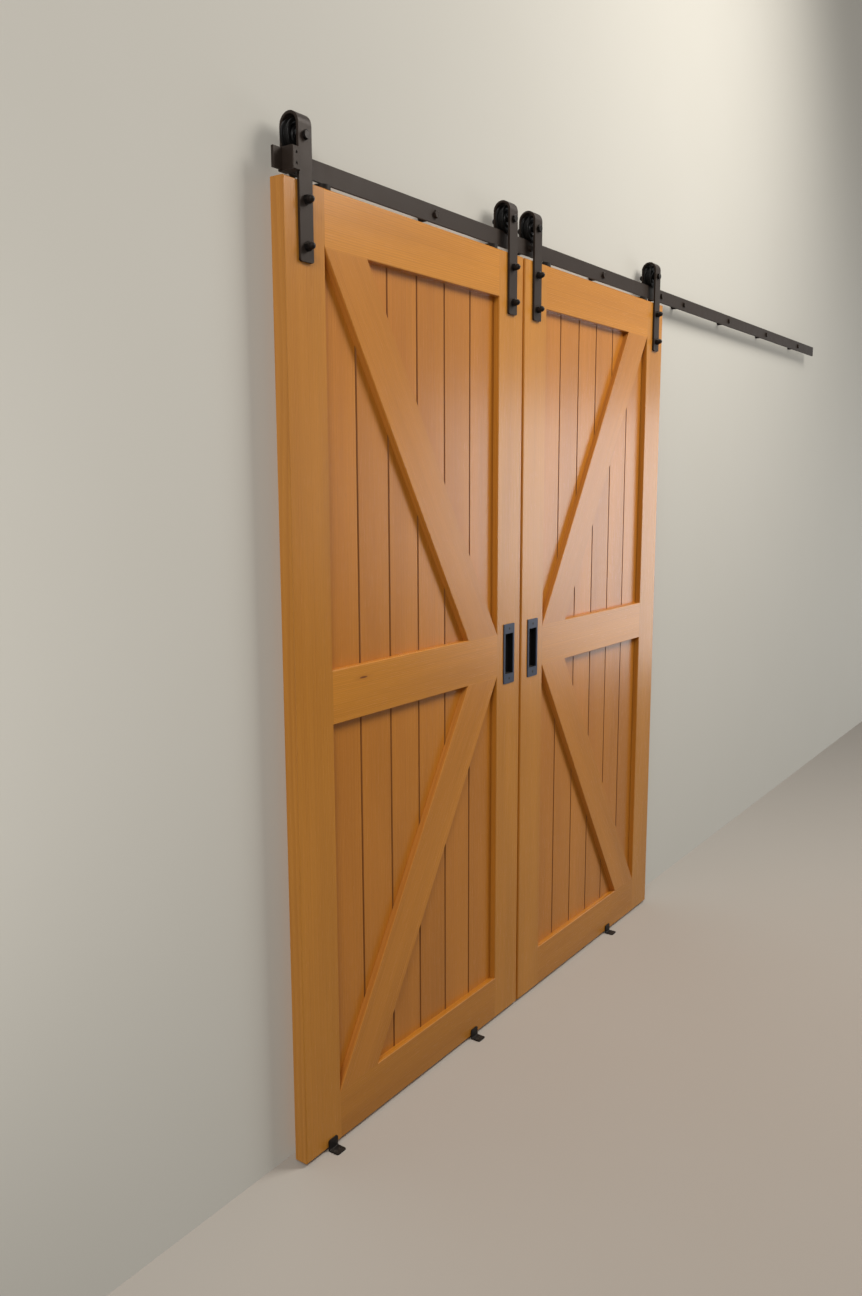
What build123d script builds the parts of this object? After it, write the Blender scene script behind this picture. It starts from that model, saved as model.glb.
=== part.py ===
from build123d import *
from math import acos, atan2, cos, hypot, radians, sin, sqrt
import os

# A pair of sliding barn doors on one flat rail, in millimetres.
# The origin is on the wall face, at the axis of the first wall bolt from the left.
# +X runs to the right along the wall, +Y runs into the wall and +Z is up.
# The two leaves mirror each other, so each leaf piece is drawn once, for the left leaf.
# There u is the distance from the leaf's outer edge, which is its own left edge.

# Rail
rail_height = 40.0
rail_thickness = 6.0
rail_joint_gap = 0.2
left_bar_bays = 4
right_bar_bays = 3
joint_past_leaf = 122.0
joint_margin = 100.0
left_end_margin = 100.0
right_end_margin = 250.0
spacer_length = 38.0
spacer_radius = 12.0
bolt_hole_clearance = 0.25

# Wall bolts
wall_bolt_radius = 5.0
wall_bolt_shank_radius = 4.6
wall_bolt_head_flats = 16.0
wall_bolt_head_height = 6.5
wall_bolt_grip = 60.0
wall_bolt_point = 8.0

# Leaf frame
leaf_width = 920.0
leaf_height = 2100.0
leaf_thickness = 36.0
stile_width = 120.0
top_rail_width = 116.0
mid_rail_width = 120.0
bottom_rail_width = 120.0
mid_rail_centre = 1049.0
outer_arris = 2.0
inner_arris = 1.5
leaf_gap = 10.0
spare_travel = 4.0
rail_overhang = 8.0
leaf_drop = 14.0
floor_gap = 8.0

# Frame joints
tenon_length = 50.0
tenon_thickness = 12.0
tenon_shoulder = 20.0
mid_tenon_length = 25.0
mid_tenon_thickness = 8.0
joint_clearance = 0.15
mortise_end_room = 1.0

# Boards and braces
board_count = 6
board_recess = 16.0
board_thickness = 12.0
board_gap = 0.6
vee_depth = 2.8
tongue_length = 6.0
tongue_thickness = 4.0
tongue_clearance = 0.2
housing_depth = 10.0
housing_end_room = 1.0
brace_width = 120.0

# Hanger straps
strap_width = 40.0
strap_thickness = 6.0
strap_gap = 38.0
strap_inset = 60.0
strap_leg = 154.0
strap_corner = 3.5
strap_arris = 0.7
arch_rise = 20.0
rear_arm_drop = 22.0
upper_leg_bolt_drop = 36.0
lower_leg_bolt_drop = 124.0

# Wheels and bearings
rolling_radius = 30.0
rolling_gap = 0.1
flange_height = 5.0
wheel_width = 20.0
groove_side_gap = 0.5
groove_flare = 2.0
dish_depth = 3.5
dish_inner_radius = 19.0
dish_outer_radius = 27.5
bearing_radius = 15.0
bearing_width = 9.0
bearing_lip_radius = 12.5
shield_depth = 0.6
shield_inner_radius = 7.5
shield_outer_radius = 12.8
axle_running_gap = 0.05
collar_radius = 7.0
collar_bore_gap = 0.2
collar_end_gap = 0.3

# Bolts and nuts of the hangers
bolt_radius = 5.0
bolt_head_flats = 17.0
bolt_head_height = 7.0
coach_head_radius = 11.5
coach_head_height = 4.5
coach_head_edge = 1.0
coach_head_shoulder = 0.7
coach_neck_length = 6.0
hex_crown_angle = 30.0
cap_nut_flats = 17.0
cap_nut_dome_radius = 8.0
leg_nut_height = 20.0
leg_nut_hex_height = 9.5
leg_nut_bore_depth = 16.0
axle_nut_height = 14.5
axle_nut_hex_height = 7.5
axle_nut_bore_depth = 11.0
bolt_end_room = 0.5

# Anti-jump discs and wood screws
disc_radius = 18.0
disc_thickness = 10.0
disc_offset = 75.0
screw_radius = 2.0
screw_head_radius = 4.0
screw_head_height = 2.0
screw_length = 24.0
screw_tip = 4.0
screw_hole_gap = 0.05

# Flush pulls
pull_width = 55.0
pull_height = 165.0
pull_plate = 3.0
pull_corner = 2.0
pull_arris = 0.8
cup_width = 42.0
cup_height = 112.0
cup_depth = 14.0
cup_wall = 1.5
cup_floor_radius = 3.0
cup_mortise_gap = 0.5

# End stop
stop_width = 22.0
stop_height = 44.0
stop_front_reach = 28.0
stop_back_reach = 5.0
stop_arris = 1.5
stop_rail_gap = 0.15
stop_wheel_gap = 0.3
stop_screw_radius = 3.0
stop_screw_spacing = 20.0
stop_screw_sink = 1.0
stop_socket_radius = 1.7
stop_socket_depth = 3.5

# Floor guides
first_guide_inset = 88.0
second_guide_inset = 231.0
third_guide_inset = 320.0
guide_width = 30.0
guide_thickness = 3.0
guide_foot = 28.0
guide_overlap = 19.0
guide_clearance = 0.6
guide_corner = 4.0
guide_bend_radius = 2.0
guide_screw_spacing = 16.0
guide_screw_setback = 12.0
guide_screw_radius = 2.2
guide_screw_head_radius = 4.2
guide_screw_head_height = 2.0
guide_screw_length = 26.0
guide_screw_tip = 4.0

# Levels and depths that follow from the sizes above
rail_back = -spacer_length
rail_front = rail_back - rail_thickness
rail_middle = (rail_back + rail_front) / 2
rail_top = rail_height / 2
leaf_front = rail_middle - strap_gap / 2
leaf_back = leaf_front + leaf_thickness
leaf_top = -rail_height / 2 - leaf_drop
leaf_bottom = leaf_top - leaf_height
floor_level = leaf_bottom - floor_gap
flange_radius = rolling_radius + flange_height
axle_height = rail_top + rolling_radius + rolling_gap
rail_left_end = -left_end_margin
left_leaf_edge = rail_left_end + rail_overhang
right_leaf_edge = left_leaf_edge + 2 * leaf_width + leaf_gap

# A stop is met by a wheel's flange, which sets how far the stop stands from an outer wheel
wheel_clearance = flange_radius + stop_wheel_gap
stop_contact = sqrt(wheel_clearance**2 - (axle_height - stop_height / 2) ** 2)
stop_inner_face = left_leaf_edge + strap_inset - stop_contact
door_travel = 2 * leaf_width + spare_travel

# The rail is as long as both leaves need to slide clear of where they stand
rail_right_end = right_leaf_edge + door_travel + rail_overhang
rail_joint = right_leaf_edge + joint_past_leaf
left_bar_pitch = (rail_joint - joint_margin) / left_bar_bays
right_bar_first = rail_joint + joint_margin
right_bar_pitch = (rail_right_end - right_end_margin - right_bar_first) / right_bar_bays
left_bolts = [n * left_bar_pitch for n in range(left_bar_bays + 1)]
right_bolts = [right_bar_first + n * right_bar_pitch for n in range(right_bar_bays + 1)]
guide_positions = (
    left_leaf_edge + first_guide_inset,
    left_leaf_edge + leaf_width - second_guide_inset,
    right_leaf_edge - third_guide_inset,
)

# Leaf levels, measured up from the world origin
top_rail_low = leaf_top - top_rail_width
bottom_rail_high = leaf_bottom + bottom_rail_width
mid_rail_low = leaf_bottom + mid_rail_centre - mid_rail_width / 2
mid_rail_high = mid_rail_low + mid_rail_width
inner_left = stile_width
inner_right = leaf_width - stile_width
board_front = leaf_front + board_recess
board_back = board_front + board_thickness
board_pitch = (inner_right - inner_left) / board_count
board_entry = housing_depth - housing_end_room
strap_places = (strap_inset, leaf_width - strap_inset)
pull_centre_u = leaf_width - strap_inset
pull_centre_z = (mid_rail_low + mid_rail_high) / 2
leg_bolt_levels = (leaf_top - upper_leg_bolt_drop, leaf_top - lower_leg_bolt_drop)
disc_places = (strap_inset + disc_offset, leaf_width - strap_inset - disc_offset)
disc_middle = (leaf_front + leaf_back) / 2

pieces = {}


def block(x0, x1, y0, y1, z0, z1):
    """A box between two corners."""
    centre = Pos((x0 + x1) / 2, (y0 + y1) / 2, (z0 + z1) / 2)
    return centre * Box(x1 - x0, y1 - y0, z1 - z0)


def bar_y(x, z, y0, y1, radius):
    """A round bar along Y."""
    return Pos(x, (y0 + y1) / 2, z) * Rot(90, 0, 0) * Cylinder(radius, y1 - y0)


def bar_z(x, y, z0, z1, radius):
    """A round bar along Z."""
    return Pos(x, y, (z0 + z1) / 2) * Cylinder(radius, z1 - z0)


def turned(points, axis_plane):
    """A turned piece from (radius, height) points, along the normal of its plane."""
    outline = make_face(Polyline(*[(r, 0, h) for r, h in points], close=True))
    return axis_plane * revolve(outline, Axis.Z)


def looking_front(x, y, z):
    """A plane whose normal points to the front, out of the wall."""
    return Plane(origin=(x, y, z), x_dir=(1, 0, 0), z_dir=(0, -1, 0))


def looking_up(x, y, z):
    """A plane whose normal points up."""
    return Plane(origin=(x, y, z), x_dir=(1, 0, 0), z_dir=(0, 0, 1))


def prism(points, y0, y1):
    """A straight prism along Y from (x, z) points."""
    outline = make_face(Polyline(*[(x, y0, z) for x, z in points], close=True))
    return extrude(outline, amount=y1 - y0, dir=(0, 1, 0))


def store(name, *solids):
    """Keep a node's solids under its name."""
    found = [solid for shape in solids for solid in shape.solids()]
    pieces[name] = found[0] if len(found) == 1 else Compound(children=found)


def store_leaf(name, *shapes):
    """Place a leaf piece on the left leaf and its mirror image on the right leaf."""
    store("left_" + name, *[Pos(left_leaf_edge, 0, 0) * shape for shape in shapes])
    flipped = [mirror(shape, about=Plane.YZ) for shape in shapes]
    store("right_" + name, *[Pos(right_leaf_edge, 0, 0) * shape for shape in flipped])


# Recesses of the leaf face, and the braces that divide them
def brace_corners(low, high):
    """Corners of a brace from the upper left to the lower right of a panel, as (u, z)."""
    width = inner_right - inner_left
    height = high - low
    lean = acos(brace_width / hypot(width, height)) - atan2(height, width)
    reach = brace_width / cos(lean)
    return [
        (inner_left, high),
        (inner_left + reach, high),
        (inner_right, low),
        (inner_right - reach, low),
    ]


def recesses(low, high, corners):
    """The two triangles that a brace leaves open in a panel."""
    upper = [corners[1], (inner_right, high), corners[2]]
    lower = [corners[0], corners[3], (inner_left, low)]
    return [upper, lower]


def turned_over(points, low, high):
    """The same points with the panel turned upside down."""
    return [(u, low + high - z) for u, z in points]


upper_brace = brace_corners(mid_rail_high, top_rail_low)
lower_brace_drawn = brace_corners(bottom_rail_high, mid_rail_low)
lower_brace = turned_over(lower_brace_drawn, bottom_rail_high, mid_rail_low)
upper_recesses = recesses(mid_rail_high, top_rail_low, upper_brace)
lower_recesses = [
    turned_over(recess, bottom_rail_high, mid_rail_low)
    for recess in recesses(bottom_rail_high, mid_rail_low, lower_brace_drawn)
]


def arris_cutter(points):
    """Cuts the eased edge round one recess of the face."""
    deep = make_face(Polyline(*[(u, leaf_front + inner_arris, z) for u, z in points], close=True))
    wide = offset(deep, amount=inner_arris, kind=Kind.INTERSECTION)
    return loft([deep.face(), Pos(0, -inner_arris, 0) * wide.face()])


arris_cutters = [arris_cutter(recess) for recess in upper_recesses + lower_recesses]


def leaf_envelope():
    """The leaf's outer block with its front and back edges eased."""
    outer = block(0, leaf_width, leaf_front, leaf_back, leaf_bottom, leaf_top)
    faces = outer.faces().sort_by(Axis.Y)
    return chamfer(faces[0].edges() + faces[-1].edges(), outer_arris)


envelope = leaf_envelope()


def eased(member):
    """A frame member with the leaf's eased edges."""
    return (member & envelope) - arris_cutters


# Frame members
def housing_y():
    """Front and back of the groove that holds the boards."""
    return board_front - joint_clearance, board_back + joint_clearance


def rail_tenons(low, high, front, thickness, length):
    """Both tenons of a rail between the stiles."""
    bottom = low + tenon_shoulder
    top = high - tenon_shoulder
    left = block(inner_left - length, inner_left, front, front + thickness, bottom, top)
    right = block(inner_right, inner_right + length, front, front + thickness, bottom, top)
    return left + right


def rail_mortises(low, high, front, thickness, length):
    """The mortises of both stiles for one rail."""
    reach = length + mortise_end_room
    near = front - joint_clearance
    far = front + thickness + joint_clearance
    bottom = low + tenon_shoulder - joint_clearance
    top = high - tenon_shoulder + joint_clearance
    left = block(inner_left - reach, inner_left, near, far, bottom, top)
    right = block(inner_right, inner_right + reach, near, far, bottom, top)
    return left + right


tenon_front = (leaf_front + leaf_back - tenon_thickness) / 2
mid_tenon_front = leaf_front + (board_recess - mid_tenon_thickness) / 2
full_joint = (tenon_front, tenon_thickness, tenon_length)
mid_joint = (mid_tenon_front, mid_tenon_thickness, mid_tenon_length)


def stile_cuts():
    """What both stiles lose to the rails, the boards and the hanger bolts."""
    near, far = housing_y()
    low = bottom_rail_high - housing_depth
    high = top_rail_low + housing_depth
    cuts = [block(inner_left - housing_depth, inner_left, near, far, low, high)]
    cuts.append(block(inner_right, inner_right + housing_depth, near, far, low, high))
    cuts.append(rail_mortises(top_rail_low, leaf_top, *full_joint))
    cuts.append(rail_mortises(leaf_bottom, bottom_rail_high, *full_joint))
    cuts.append(rail_mortises(mid_rail_low, mid_rail_high, *mid_joint))
    half_neck = bolt_radius + joint_clearance
    neck_front = leaf_back - coach_neck_length - joint_clearance
    for u in strap_places:
        for z in leg_bolt_levels:
            cuts.append(bar_y(u, z, leaf_front, leaf_back, bolt_radius + bolt_hole_clearance))
            neck = (u - half_neck, u + half_neck, neck_front, leaf_back)
            cuts.append(block(*neck, z - half_neck, z + half_neck))
    return cuts


def pull_screw_levels():
    """Heights of the two screws of a flush pull."""
    reach = (pull_height + cup_height) / 4
    return pull_centre_z + reach, pull_centre_z - reach


def screw_hole(plane, length, radius):
    """A pilot hole that starts at the plane and runs against its normal."""
    return plane * Pos(0, 0, -length / 2) * Cylinder(radius, length)


def pull_pocket():
    """The hole in the meeting stile for the cup of the flush pull and its screws."""
    half_width = cup_width / 2 + cup_wall + cup_mortise_gap
    half_height = cup_height / 2 + cup_wall + cup_mortise_gap
    back = leaf_front - pull_plate + cup_depth + cup_wall + cup_mortise_gap
    sides = (pull_centre_u - half_width, pull_centre_u + half_width)
    ends = (pull_centre_z - half_height, pull_centre_z + half_height)
    cuts = [block(*sides, leaf_front, back, *ends)]
    for z in pull_screw_levels():
        start = looking_front(pull_centre_u, leaf_front, z)
        cuts.append(screw_hole(start, screw_length, screw_radius + screw_hole_gap))
    return cuts


def make_frame():
    cuts = stile_cuts()
    outer = block(0, inner_left, leaf_front, leaf_back, leaf_bottom, leaf_top)
    store_leaf("outer_stile", eased(outer) - cuts)
    meeting = block(inner_right, leaf_width, leaf_front, leaf_back, leaf_bottom, leaf_top)
    store_leaf("meeting_stile", eased(meeting) - cuts - pull_pocket())

    near, far = housing_y()
    between = (inner_left, inner_right, leaf_front, leaf_back)
    top = eased(block(*between, top_rail_low, leaf_top))
    top += rail_tenons(top_rail_low, leaf_top, *full_joint)
    top -= block(inner_left, inner_right, near, far, top_rail_low, top_rail_low + housing_depth)
    for u in disc_places:
        start = looking_up(u, disc_middle, leaf_top)
        top -= screw_hole(start, screw_length, screw_radius + screw_hole_gap)
    store_leaf("top_rail", top)

    bottom = eased(block(*between, leaf_bottom, bottom_rail_high))
    bottom += rail_tenons(leaf_bottom, bottom_rail_high, *full_joint)
    groove_low = bottom_rail_high - housing_depth
    bottom -= block(inner_left, inner_right, near, far, groove_low, bottom_rail_high)
    store_leaf("bottom_rail", bottom)

    middle = eased(block(inner_left, inner_right, leaf_front, board_front, mid_rail_low, mid_rail_high))
    middle += rail_tenons(mid_rail_low, mid_rail_high, *mid_joint)
    store_leaf("mid_rail", middle)


# Boards
def board_outline(number):
    """Cross-section of one board as (u, y) points, with a tongue towards the meeting stile."""
    left = inner_left + number * board_pitch
    right = left + board_pitch
    tongue_front = (board_front + board_back - tongue_thickness) / 2
    tongue_back = tongue_front + tongue_thickness
    if number == board_count - 1:
        right += board_entry
        right_side = [(right, board_front), (right, board_back)]
    else:
        right -= board_gap / 2
        right_side = [
            (right - vee_depth, board_front),
            (right, board_front + vee_depth),
            (right, tongue_front),
            (right + tongue_length, tongue_front),
            (right + tongue_length, tongue_back),
            (right, tongue_back),
            (right, board_back),
        ]
    if number == 0:
        left -= board_entry
        left_side = [(left, board_back), (left, board_front)]
    else:
        left += board_gap / 2
        slot = left + tongue_length - board_gap + tongue_clearance
        left_side = [
            (left, board_back),
            (left, tongue_back + tongue_clearance),
            (slot, tongue_back + tongue_clearance),
            (slot, tongue_front - tongue_clearance),
            (left, tongue_front - tongue_clearance),
            (left, board_front + vee_depth),
            (left + vee_depth, board_front),
        ]
    return right_side + left_side


def make_boards():
    low = bottom_rail_high - board_entry
    high = top_rail_low + board_entry
    for number in range(board_count):
        points = [(u, y, low) for u, y in board_outline(number)]
        outline = make_face(Polyline(*points, close=True))
        board = extrude(outline, amount=high - low, dir=(0, 0, 1))
        store_leaf(f"board_{number + 1}", board)


def make_braces():
    for name, corners in (("upper_brace", upper_brace), ("lower_brace", lower_brace)):
        store_leaf(name, prism(corners, leaf_front, board_front) - arris_cutters)


# Hangers
def strap_outline():
    """Side view of the bent strap: long leg in front, arch over the wheel, short arm behind."""
    arch_centre = axle_height + arch_rise
    foot = leaf_top - strap_leg
    heel = axle_height - rear_arm_drop
    inside = strap_gap / 2
    outside = inside + strap_thickness
    front_out = (0, rail_middle - outside, arch_centre)
    front_in = (0, rail_middle - inside, arch_centre)
    rear_out = (0, rail_middle + outside, arch_centre)
    rear_in = (0, rail_middle + inside, arch_centre)
    lines = [
        Line((0, rail_middle - outside, foot), front_out),
        ThreePointArc(front_out, (0, rail_middle, arch_centre + outside), rear_out),
        Line(rear_out, (0, rail_middle + outside, heel)),
        Line((0, rail_middle + outside, heel), (0, rail_middle + inside, heel)),
        Line((0, rail_middle + inside, heel), rear_in),
        ThreePointArc(rear_in, (0, rail_middle, arch_centre + inside), front_in),
        Line(front_in, (0, rail_middle - inside, foot)),
        Line((0, rail_middle - inside, foot), (0, rail_middle - outside, foot)),
    ]
    return make_face(Wire(lines))


def strap(u):
    """One bent strap with its bolt holes."""
    bent = Pos(u - strap_width / 2, 0, 0) * extrude(strap_outline(), amount=strap_width, dir=(1, 0, 0))
    sides = bent.faces().sort_by(Axis.X)
    bent = chamfer(sides[0].edges() + sides[-1].edges(), strap_arris)
    foot = leaf_top - strap_leg
    corners = [(u - strap_width / 2, foot), (u + strap_width / 2, foot)]
    for x, z in corners:
        inward = 1 if x < u else -1
        triangle = [(x, z), (x + inward * strap_corner, z), (x, z + strap_corner)]
        bent -= prism(triangle, leaf_front - 2 * strap_thickness, leaf_front + strap_thickness)
    hole = bolt_radius + bolt_hole_clearance
    front = leaf_front - 2 * strap_thickness
    for z in leg_bolt_levels:
        bent -= bar_y(u, z, front, leaf_front + strap_thickness, hole)
    bent -= bar_y(u, axle_height, front, rail_middle + strap_gap, hole)
    return bent


def wheel_outline():
    """Half section of the wheel as (radius, distance along the axle) points."""
    half = wheel_width / 2
    groove = rail_thickness / 2 + groove_side_gap
    flare = groove + groove_flare
    web = half - dish_depth
    seat = bearing_width / 2
    return [
        (bearing_radius, half),
        (dish_inner_radius, half),
        (dish_inner_radius, web),
        (dish_outer_radius, web),
        (dish_outer_radius, half),
        (flange_radius - strap_arris, half),
        (flange_radius, half - strap_arris),
        (flange_radius, flare),
        (rolling_radius, groove),
        (rolling_radius, -groove),
        (flange_radius, -flare),
        (flange_radius, -half + strap_arris),
        (flange_radius - strap_arris, -half),
        (dish_outer_radius, -half),
        (dish_outer_radius, -web),
        (dish_inner_radius, -web),
        (dish_inner_radius, -half),
        (bearing_lip_radius, -half),
        (bearing_lip_radius, -seat),
        (bearing_radius, -seat),
    ]


def bearing_outline():
    """Half section of the shielded ball bearing."""
    half = bearing_width / 2
    shield = half - shield_depth
    bore = bolt_radius + axle_running_gap
    return [
        (bore, half),
        (shield_inner_radius, half),
        (shield_inner_radius, shield),
        (shield_outer_radius, shield),
        (shield_outer_radius, half),
        (bearing_radius, half),
        (bearing_radius, -half),
        (shield_outer_radius, -half),
        (shield_outer_radius, -shield),
        (shield_inner_radius, -shield),
        (shield_inner_radius, -half),
        (bore, -half),
    ]


def hex_head(x, y, z, flats, height):
    """A hex head that stands to the front of y, with its corners turned off."""
    plane = looking_front(x, y, z)
    corner = flats / sqrt(3)
    drop = (corner - flats / 2) * sin(radians(hex_crown_angle))
    hexagon = plane * extrude(RegularPolygon(corner, 6), amount=height)
    crown = [(0, 0), (corner + drop, 0), (corner, height - drop), (flats / 2 - drop, height), (0, height)]
    return hexagon & turned(crown, plane)


def cap_nut(plane, height, hex_height, bore_depth):
    """A domed nut that stands on a plane, with a blind hole for the bolt."""
    rise = height - hex_height
    ball = (cap_nut_dome_radius**2 + rise**2) / (2 * rise)
    middle = (atan2(rise - ball, cap_nut_dome_radius) + radians(90)) / 2
    rim = (cap_nut_dome_radius, 0, hex_height)
    top = (0, 0, height)
    halfway = (ball * cos(middle), 0, height - ball + ball * sin(middle))
    base = extrude(RegularPolygon(cap_nut_flats / sqrt(3), 6), amount=hex_height)
    profile = [
        Line((0, 0, 0), (cap_nut_dome_radius, 0, 0)),
        Line((cap_nut_dome_radius, 0, 0), rim),
        ThreePointArc(rim, halfway, top),
        Line(top, (0, 0, 0)),
    ]
    dome_profile = make_face(Wire(profile))
    dome = revolve(dome_profile, Axis.Z)
    bore = Pos(0, 0, bore_depth / 2) * Cylinder(bolt_radius, bore_depth)
    return plane * (base + dome - bore)


def coach_bolt(u, z):
    """A coach bolt from the leaf's back, through the stile and the strap."""
    plane = Plane(origin=(u, leaf_back, z), x_dir=(1, 0, 0), z_dir=(0, 1, 0))
    rim = coach_head_radius
    shoulder = coach_head_edge + (coach_head_height - coach_head_edge) * coach_head_shoulder
    crown = [
        (0, 0),
        (rim, 0),
        (rim, coach_head_edge),
        (rim * coach_head_shoulder, shoulder),
        (rim * (1 - coach_head_shoulder), coach_head_height),
        (0, coach_head_height),
    ]
    head = turned(crown, plane)
    neck_front = leaf_back - coach_neck_length
    neck = block(u - bolt_radius, u + bolt_radius, neck_front, leaf_back, z - bolt_radius, z + bolt_radius)
    front = leaf_front - strap_thickness - leg_nut_bore_depth + bolt_end_room
    return head + neck + bar_y(u, z, front, leaf_back, bolt_radius)


def axle_bolt(u):
    """The hex-headed bolt that carries one wheel between the two arms of its strap."""
    front = leaf_front - strap_thickness
    rear = rail_middle + strap_gap / 2 + strap_thickness
    shank = bar_y(u, axle_height, front, rear + axle_nut_bore_depth - bolt_end_room, bolt_radius)
    return hex_head(u, front, axle_height, bolt_head_flats, bolt_head_height) + shank


def axle_collars(u):
    """The two collars that hold one bearing in the middle of the strap."""
    inside = strap_gap / 2
    reach = bearing_width / 2 + collar_end_gap
    found = []
    for y0, y1 in ((-inside, -reach), (reach, inside)):
        outer = bar_y(u, axle_height, rail_middle + y0, rail_middle + y1, collar_radius)
        bore = bar_y(u, axle_height, rail_middle + y0, rail_middle + y1, bolt_radius + collar_bore_gap)
        found.append(outer - bore)
    return found


def make_hangers():
    for place, u in zip(("outer", "inner"), strap_places):
        centre = looking_front(u, rail_middle, axle_height)
        store_leaf(f"{place}_hanger_strap", strap(u))
        store_leaf(f"{place}_wheel", turned(wheel_outline(), centre))
        store_leaf(f"{place}_wheel_bearing", turned(bearing_outline(), centre))
    front = leaf_front - strap_thickness
    rear = rail_middle + strap_gap / 2 + strap_thickness
    legs = [(u, z) for u in strap_places for z in leg_bolt_levels]
    nuts = []
    for u, z in legs:
        plane = looking_front(u, front, z)
        nuts.append(cap_nut(plane, leg_nut_height, leg_nut_hex_height, leg_nut_bore_depth))
    for u in strap_places:
        plane = Plane(origin=(u, rear, axle_height), x_dir=(1, 0, 0), z_dir=(0, 1, 0))
        nuts.append(cap_nut(plane, axle_nut_height, axle_nut_hex_height, axle_nut_bore_depth))
    store_leaf("strap_bolts", *[coach_bolt(u, z) for u, z in legs])
    store_leaf("cap_nuts", *nuts)
    store_leaf("axle_bolts", *[axle_bolt(u) for u in strap_places])
    store_leaf("axle_spacers", *[collar for u in strap_places for collar in axle_collars(u)])


# Small fittings of the leaf
def countersunk_screw(plane, radius, head_radius, head_height, length, tip):
    """A countersunk screw whose flat head lies in the plane."""
    outline = [
        (0, 0),
        (head_radius, 0),
        (radius, -head_height),
        (radius, tip - length),
        (0, -length),
    ]
    return turned(outline, plane)


def wood_screw(plane):
    return countersunk_screw(
        plane, screw_radius, screw_head_radius, screw_head_height, screw_length, screw_tip
    )


def countersink(plane, radius, head_radius, head_height, depth):
    """The hole that takes a countersunk screw."""
    outline = [(0, 0), (head_radius, 0), (radius, -head_height), (radius, -depth), (0, -depth)]
    return turned(outline, plane)


def anti_jump_disc(u):
    """A flat disc on the leaf's top edge, close under the rail."""
    disc = bar_z(u, disc_middle, leaf_top, leaf_top + disc_thickness, disc_radius)
    top = looking_up(u, disc_middle, leaf_top + disc_thickness)
    hole = screw_radius + screw_hole_gap
    return disc - countersink(top, hole, screw_head_radius, screw_head_height, disc_thickness)


def flush_pull():
    """A pressed plate with a deep cup for the fingers."""
    front = leaf_front - pull_plate
    face = looking_front(pull_centre_u, front, pull_centre_z)
    plate = face * extrude(RectangleRounded(pull_width, pull_height, pull_corner), amount=-pull_plate)
    plate = chamfer(plate.faces().sort_by(Axis.Y)[0].edges(), pull_arris)
    outer = Rectangle(cup_width + 2 * cup_wall, cup_height + 2 * cup_wall)
    body = face * extrude(outer, amount=-cup_depth - cup_wall)
    hollow = face * extrude(Rectangle(cup_width, cup_height), amount=-cup_depth)
    hollow = fillet(hollow.faces().sort_by(Axis.Y)[-1].edges(), cup_floor_radius)
    pull = plate + body - hollow
    hole = screw_radius + screw_hole_gap
    for z in pull_screw_levels():
        start = looking_front(pull_centre_u, front, z)
        pull -= countersink(start, hole, screw_head_radius, screw_head_height, pull_plate)
    return pull


def make_fittings():
    store_leaf("anti_jump_discs", *[anti_jump_disc(u) for u in disc_places])
    store_leaf("flush_pull", flush_pull())
    front = leaf_front - pull_plate
    screws = [wood_screw(looking_front(pull_centre_u, front, z)) for z in pull_screw_levels()]
    for u in disc_places:
        screws.append(wood_screw(looking_up(u, disc_middle, leaf_top + disc_thickness)))
    store_leaf("wood_screws", *screws)


# Rail, its spacers and its bolts
def rail_bar(start, end, bolts):
    bar = block(start, end, rail_front, rail_back, -rail_height / 2, rail_height / 2)
    for x in bolts:
        bar -= bar_y(x, 0, rail_front, rail_back, wall_bolt_radius + bolt_hole_clearance)
    return bar


def rail_spacer(x):
    tube = bar_y(x, 0, rail_back, 0, spacer_radius)
    return tube - bar_y(x, 0, rail_back, 0, wall_bolt_radius + bolt_hole_clearance)


def wall_bolt(x):
    """A coach screw through the rail and its spacer into the wall."""
    head = hex_head(x, rail_front, 0, wall_bolt_head_flats, wall_bolt_head_height)
    end = wall_bolt_grip
    shank = [
        (0, 0),
        (wall_bolt_shank_radius, 0),
        (wall_bolt_shank_radius, rail_front),
        (wall_bolt_radius, rail_front),
        (wall_bolt_radius, wall_bolt_point - end + rail_front),
        (0, rail_front - end),
    ]
    return head + turned(shank, looking_front(x, rail_front, 0))


def make_rail():
    middle = rail_joint_gap / 2
    store("rail_bar_left", rail_bar(rail_left_end, rail_joint - middle, left_bolts))
    store("rail_bar_right", rail_bar(rail_joint + middle, rail_right_end, right_bolts))
    store("rail_spacers", *[rail_spacer(x) for x in left_bolts + right_bolts])
    store("wall_bolts", *[wall_bolt(x) for x in left_bolts + right_bolts])


# End stop
def end_stop(low_x):
    """A block that is slid over the rail's end, with two set screws in its front."""
    front = rail_front - stop_front_reach
    back = rail_back + stop_back_reach
    body = block(low_x, low_x + stop_width, front, back, -stop_height / 2, stop_height / 2)
    body = chamfer(body.faces().sort_by(Axis.Y)[0].edges(), stop_arris)
    slot_half = rail_height / 2 + stop_rail_gap
    slot = (rail_front - stop_rail_gap, rail_back + stop_rail_gap)
    body -= block(low_x, low_x + stop_width, *slot, -slot_half, slot_half)
    for z in (-stop_screw_spacing / 2, stop_screw_spacing / 2):
        body -= bar_y(low_x + stop_width / 2, z, front, rail_front, stop_screw_radius)
    return body


def stop_screws(low_x):
    """The set screws that lock one stop on the rail."""
    front = rail_front - stop_front_reach + stop_screw_sink
    found = []
    for z in (-stop_screw_spacing / 2, stop_screw_spacing / 2):
        screw = bar_y(low_x + stop_width / 2, z, front, rail_front, stop_screw_radius)
        start = looking_front(low_x + stop_width / 2, front, z)
        screw -= start * extrude(RegularPolygon(stop_socket_radius, 6), amount=-stop_socket_depth)
        found.append(screw)
    return found


def make_stop():
    store("end_stop", end_stop(stop_inner_face - stop_width))
    store("stop_screws", *stop_screws(stop_inner_face - stop_width))


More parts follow.
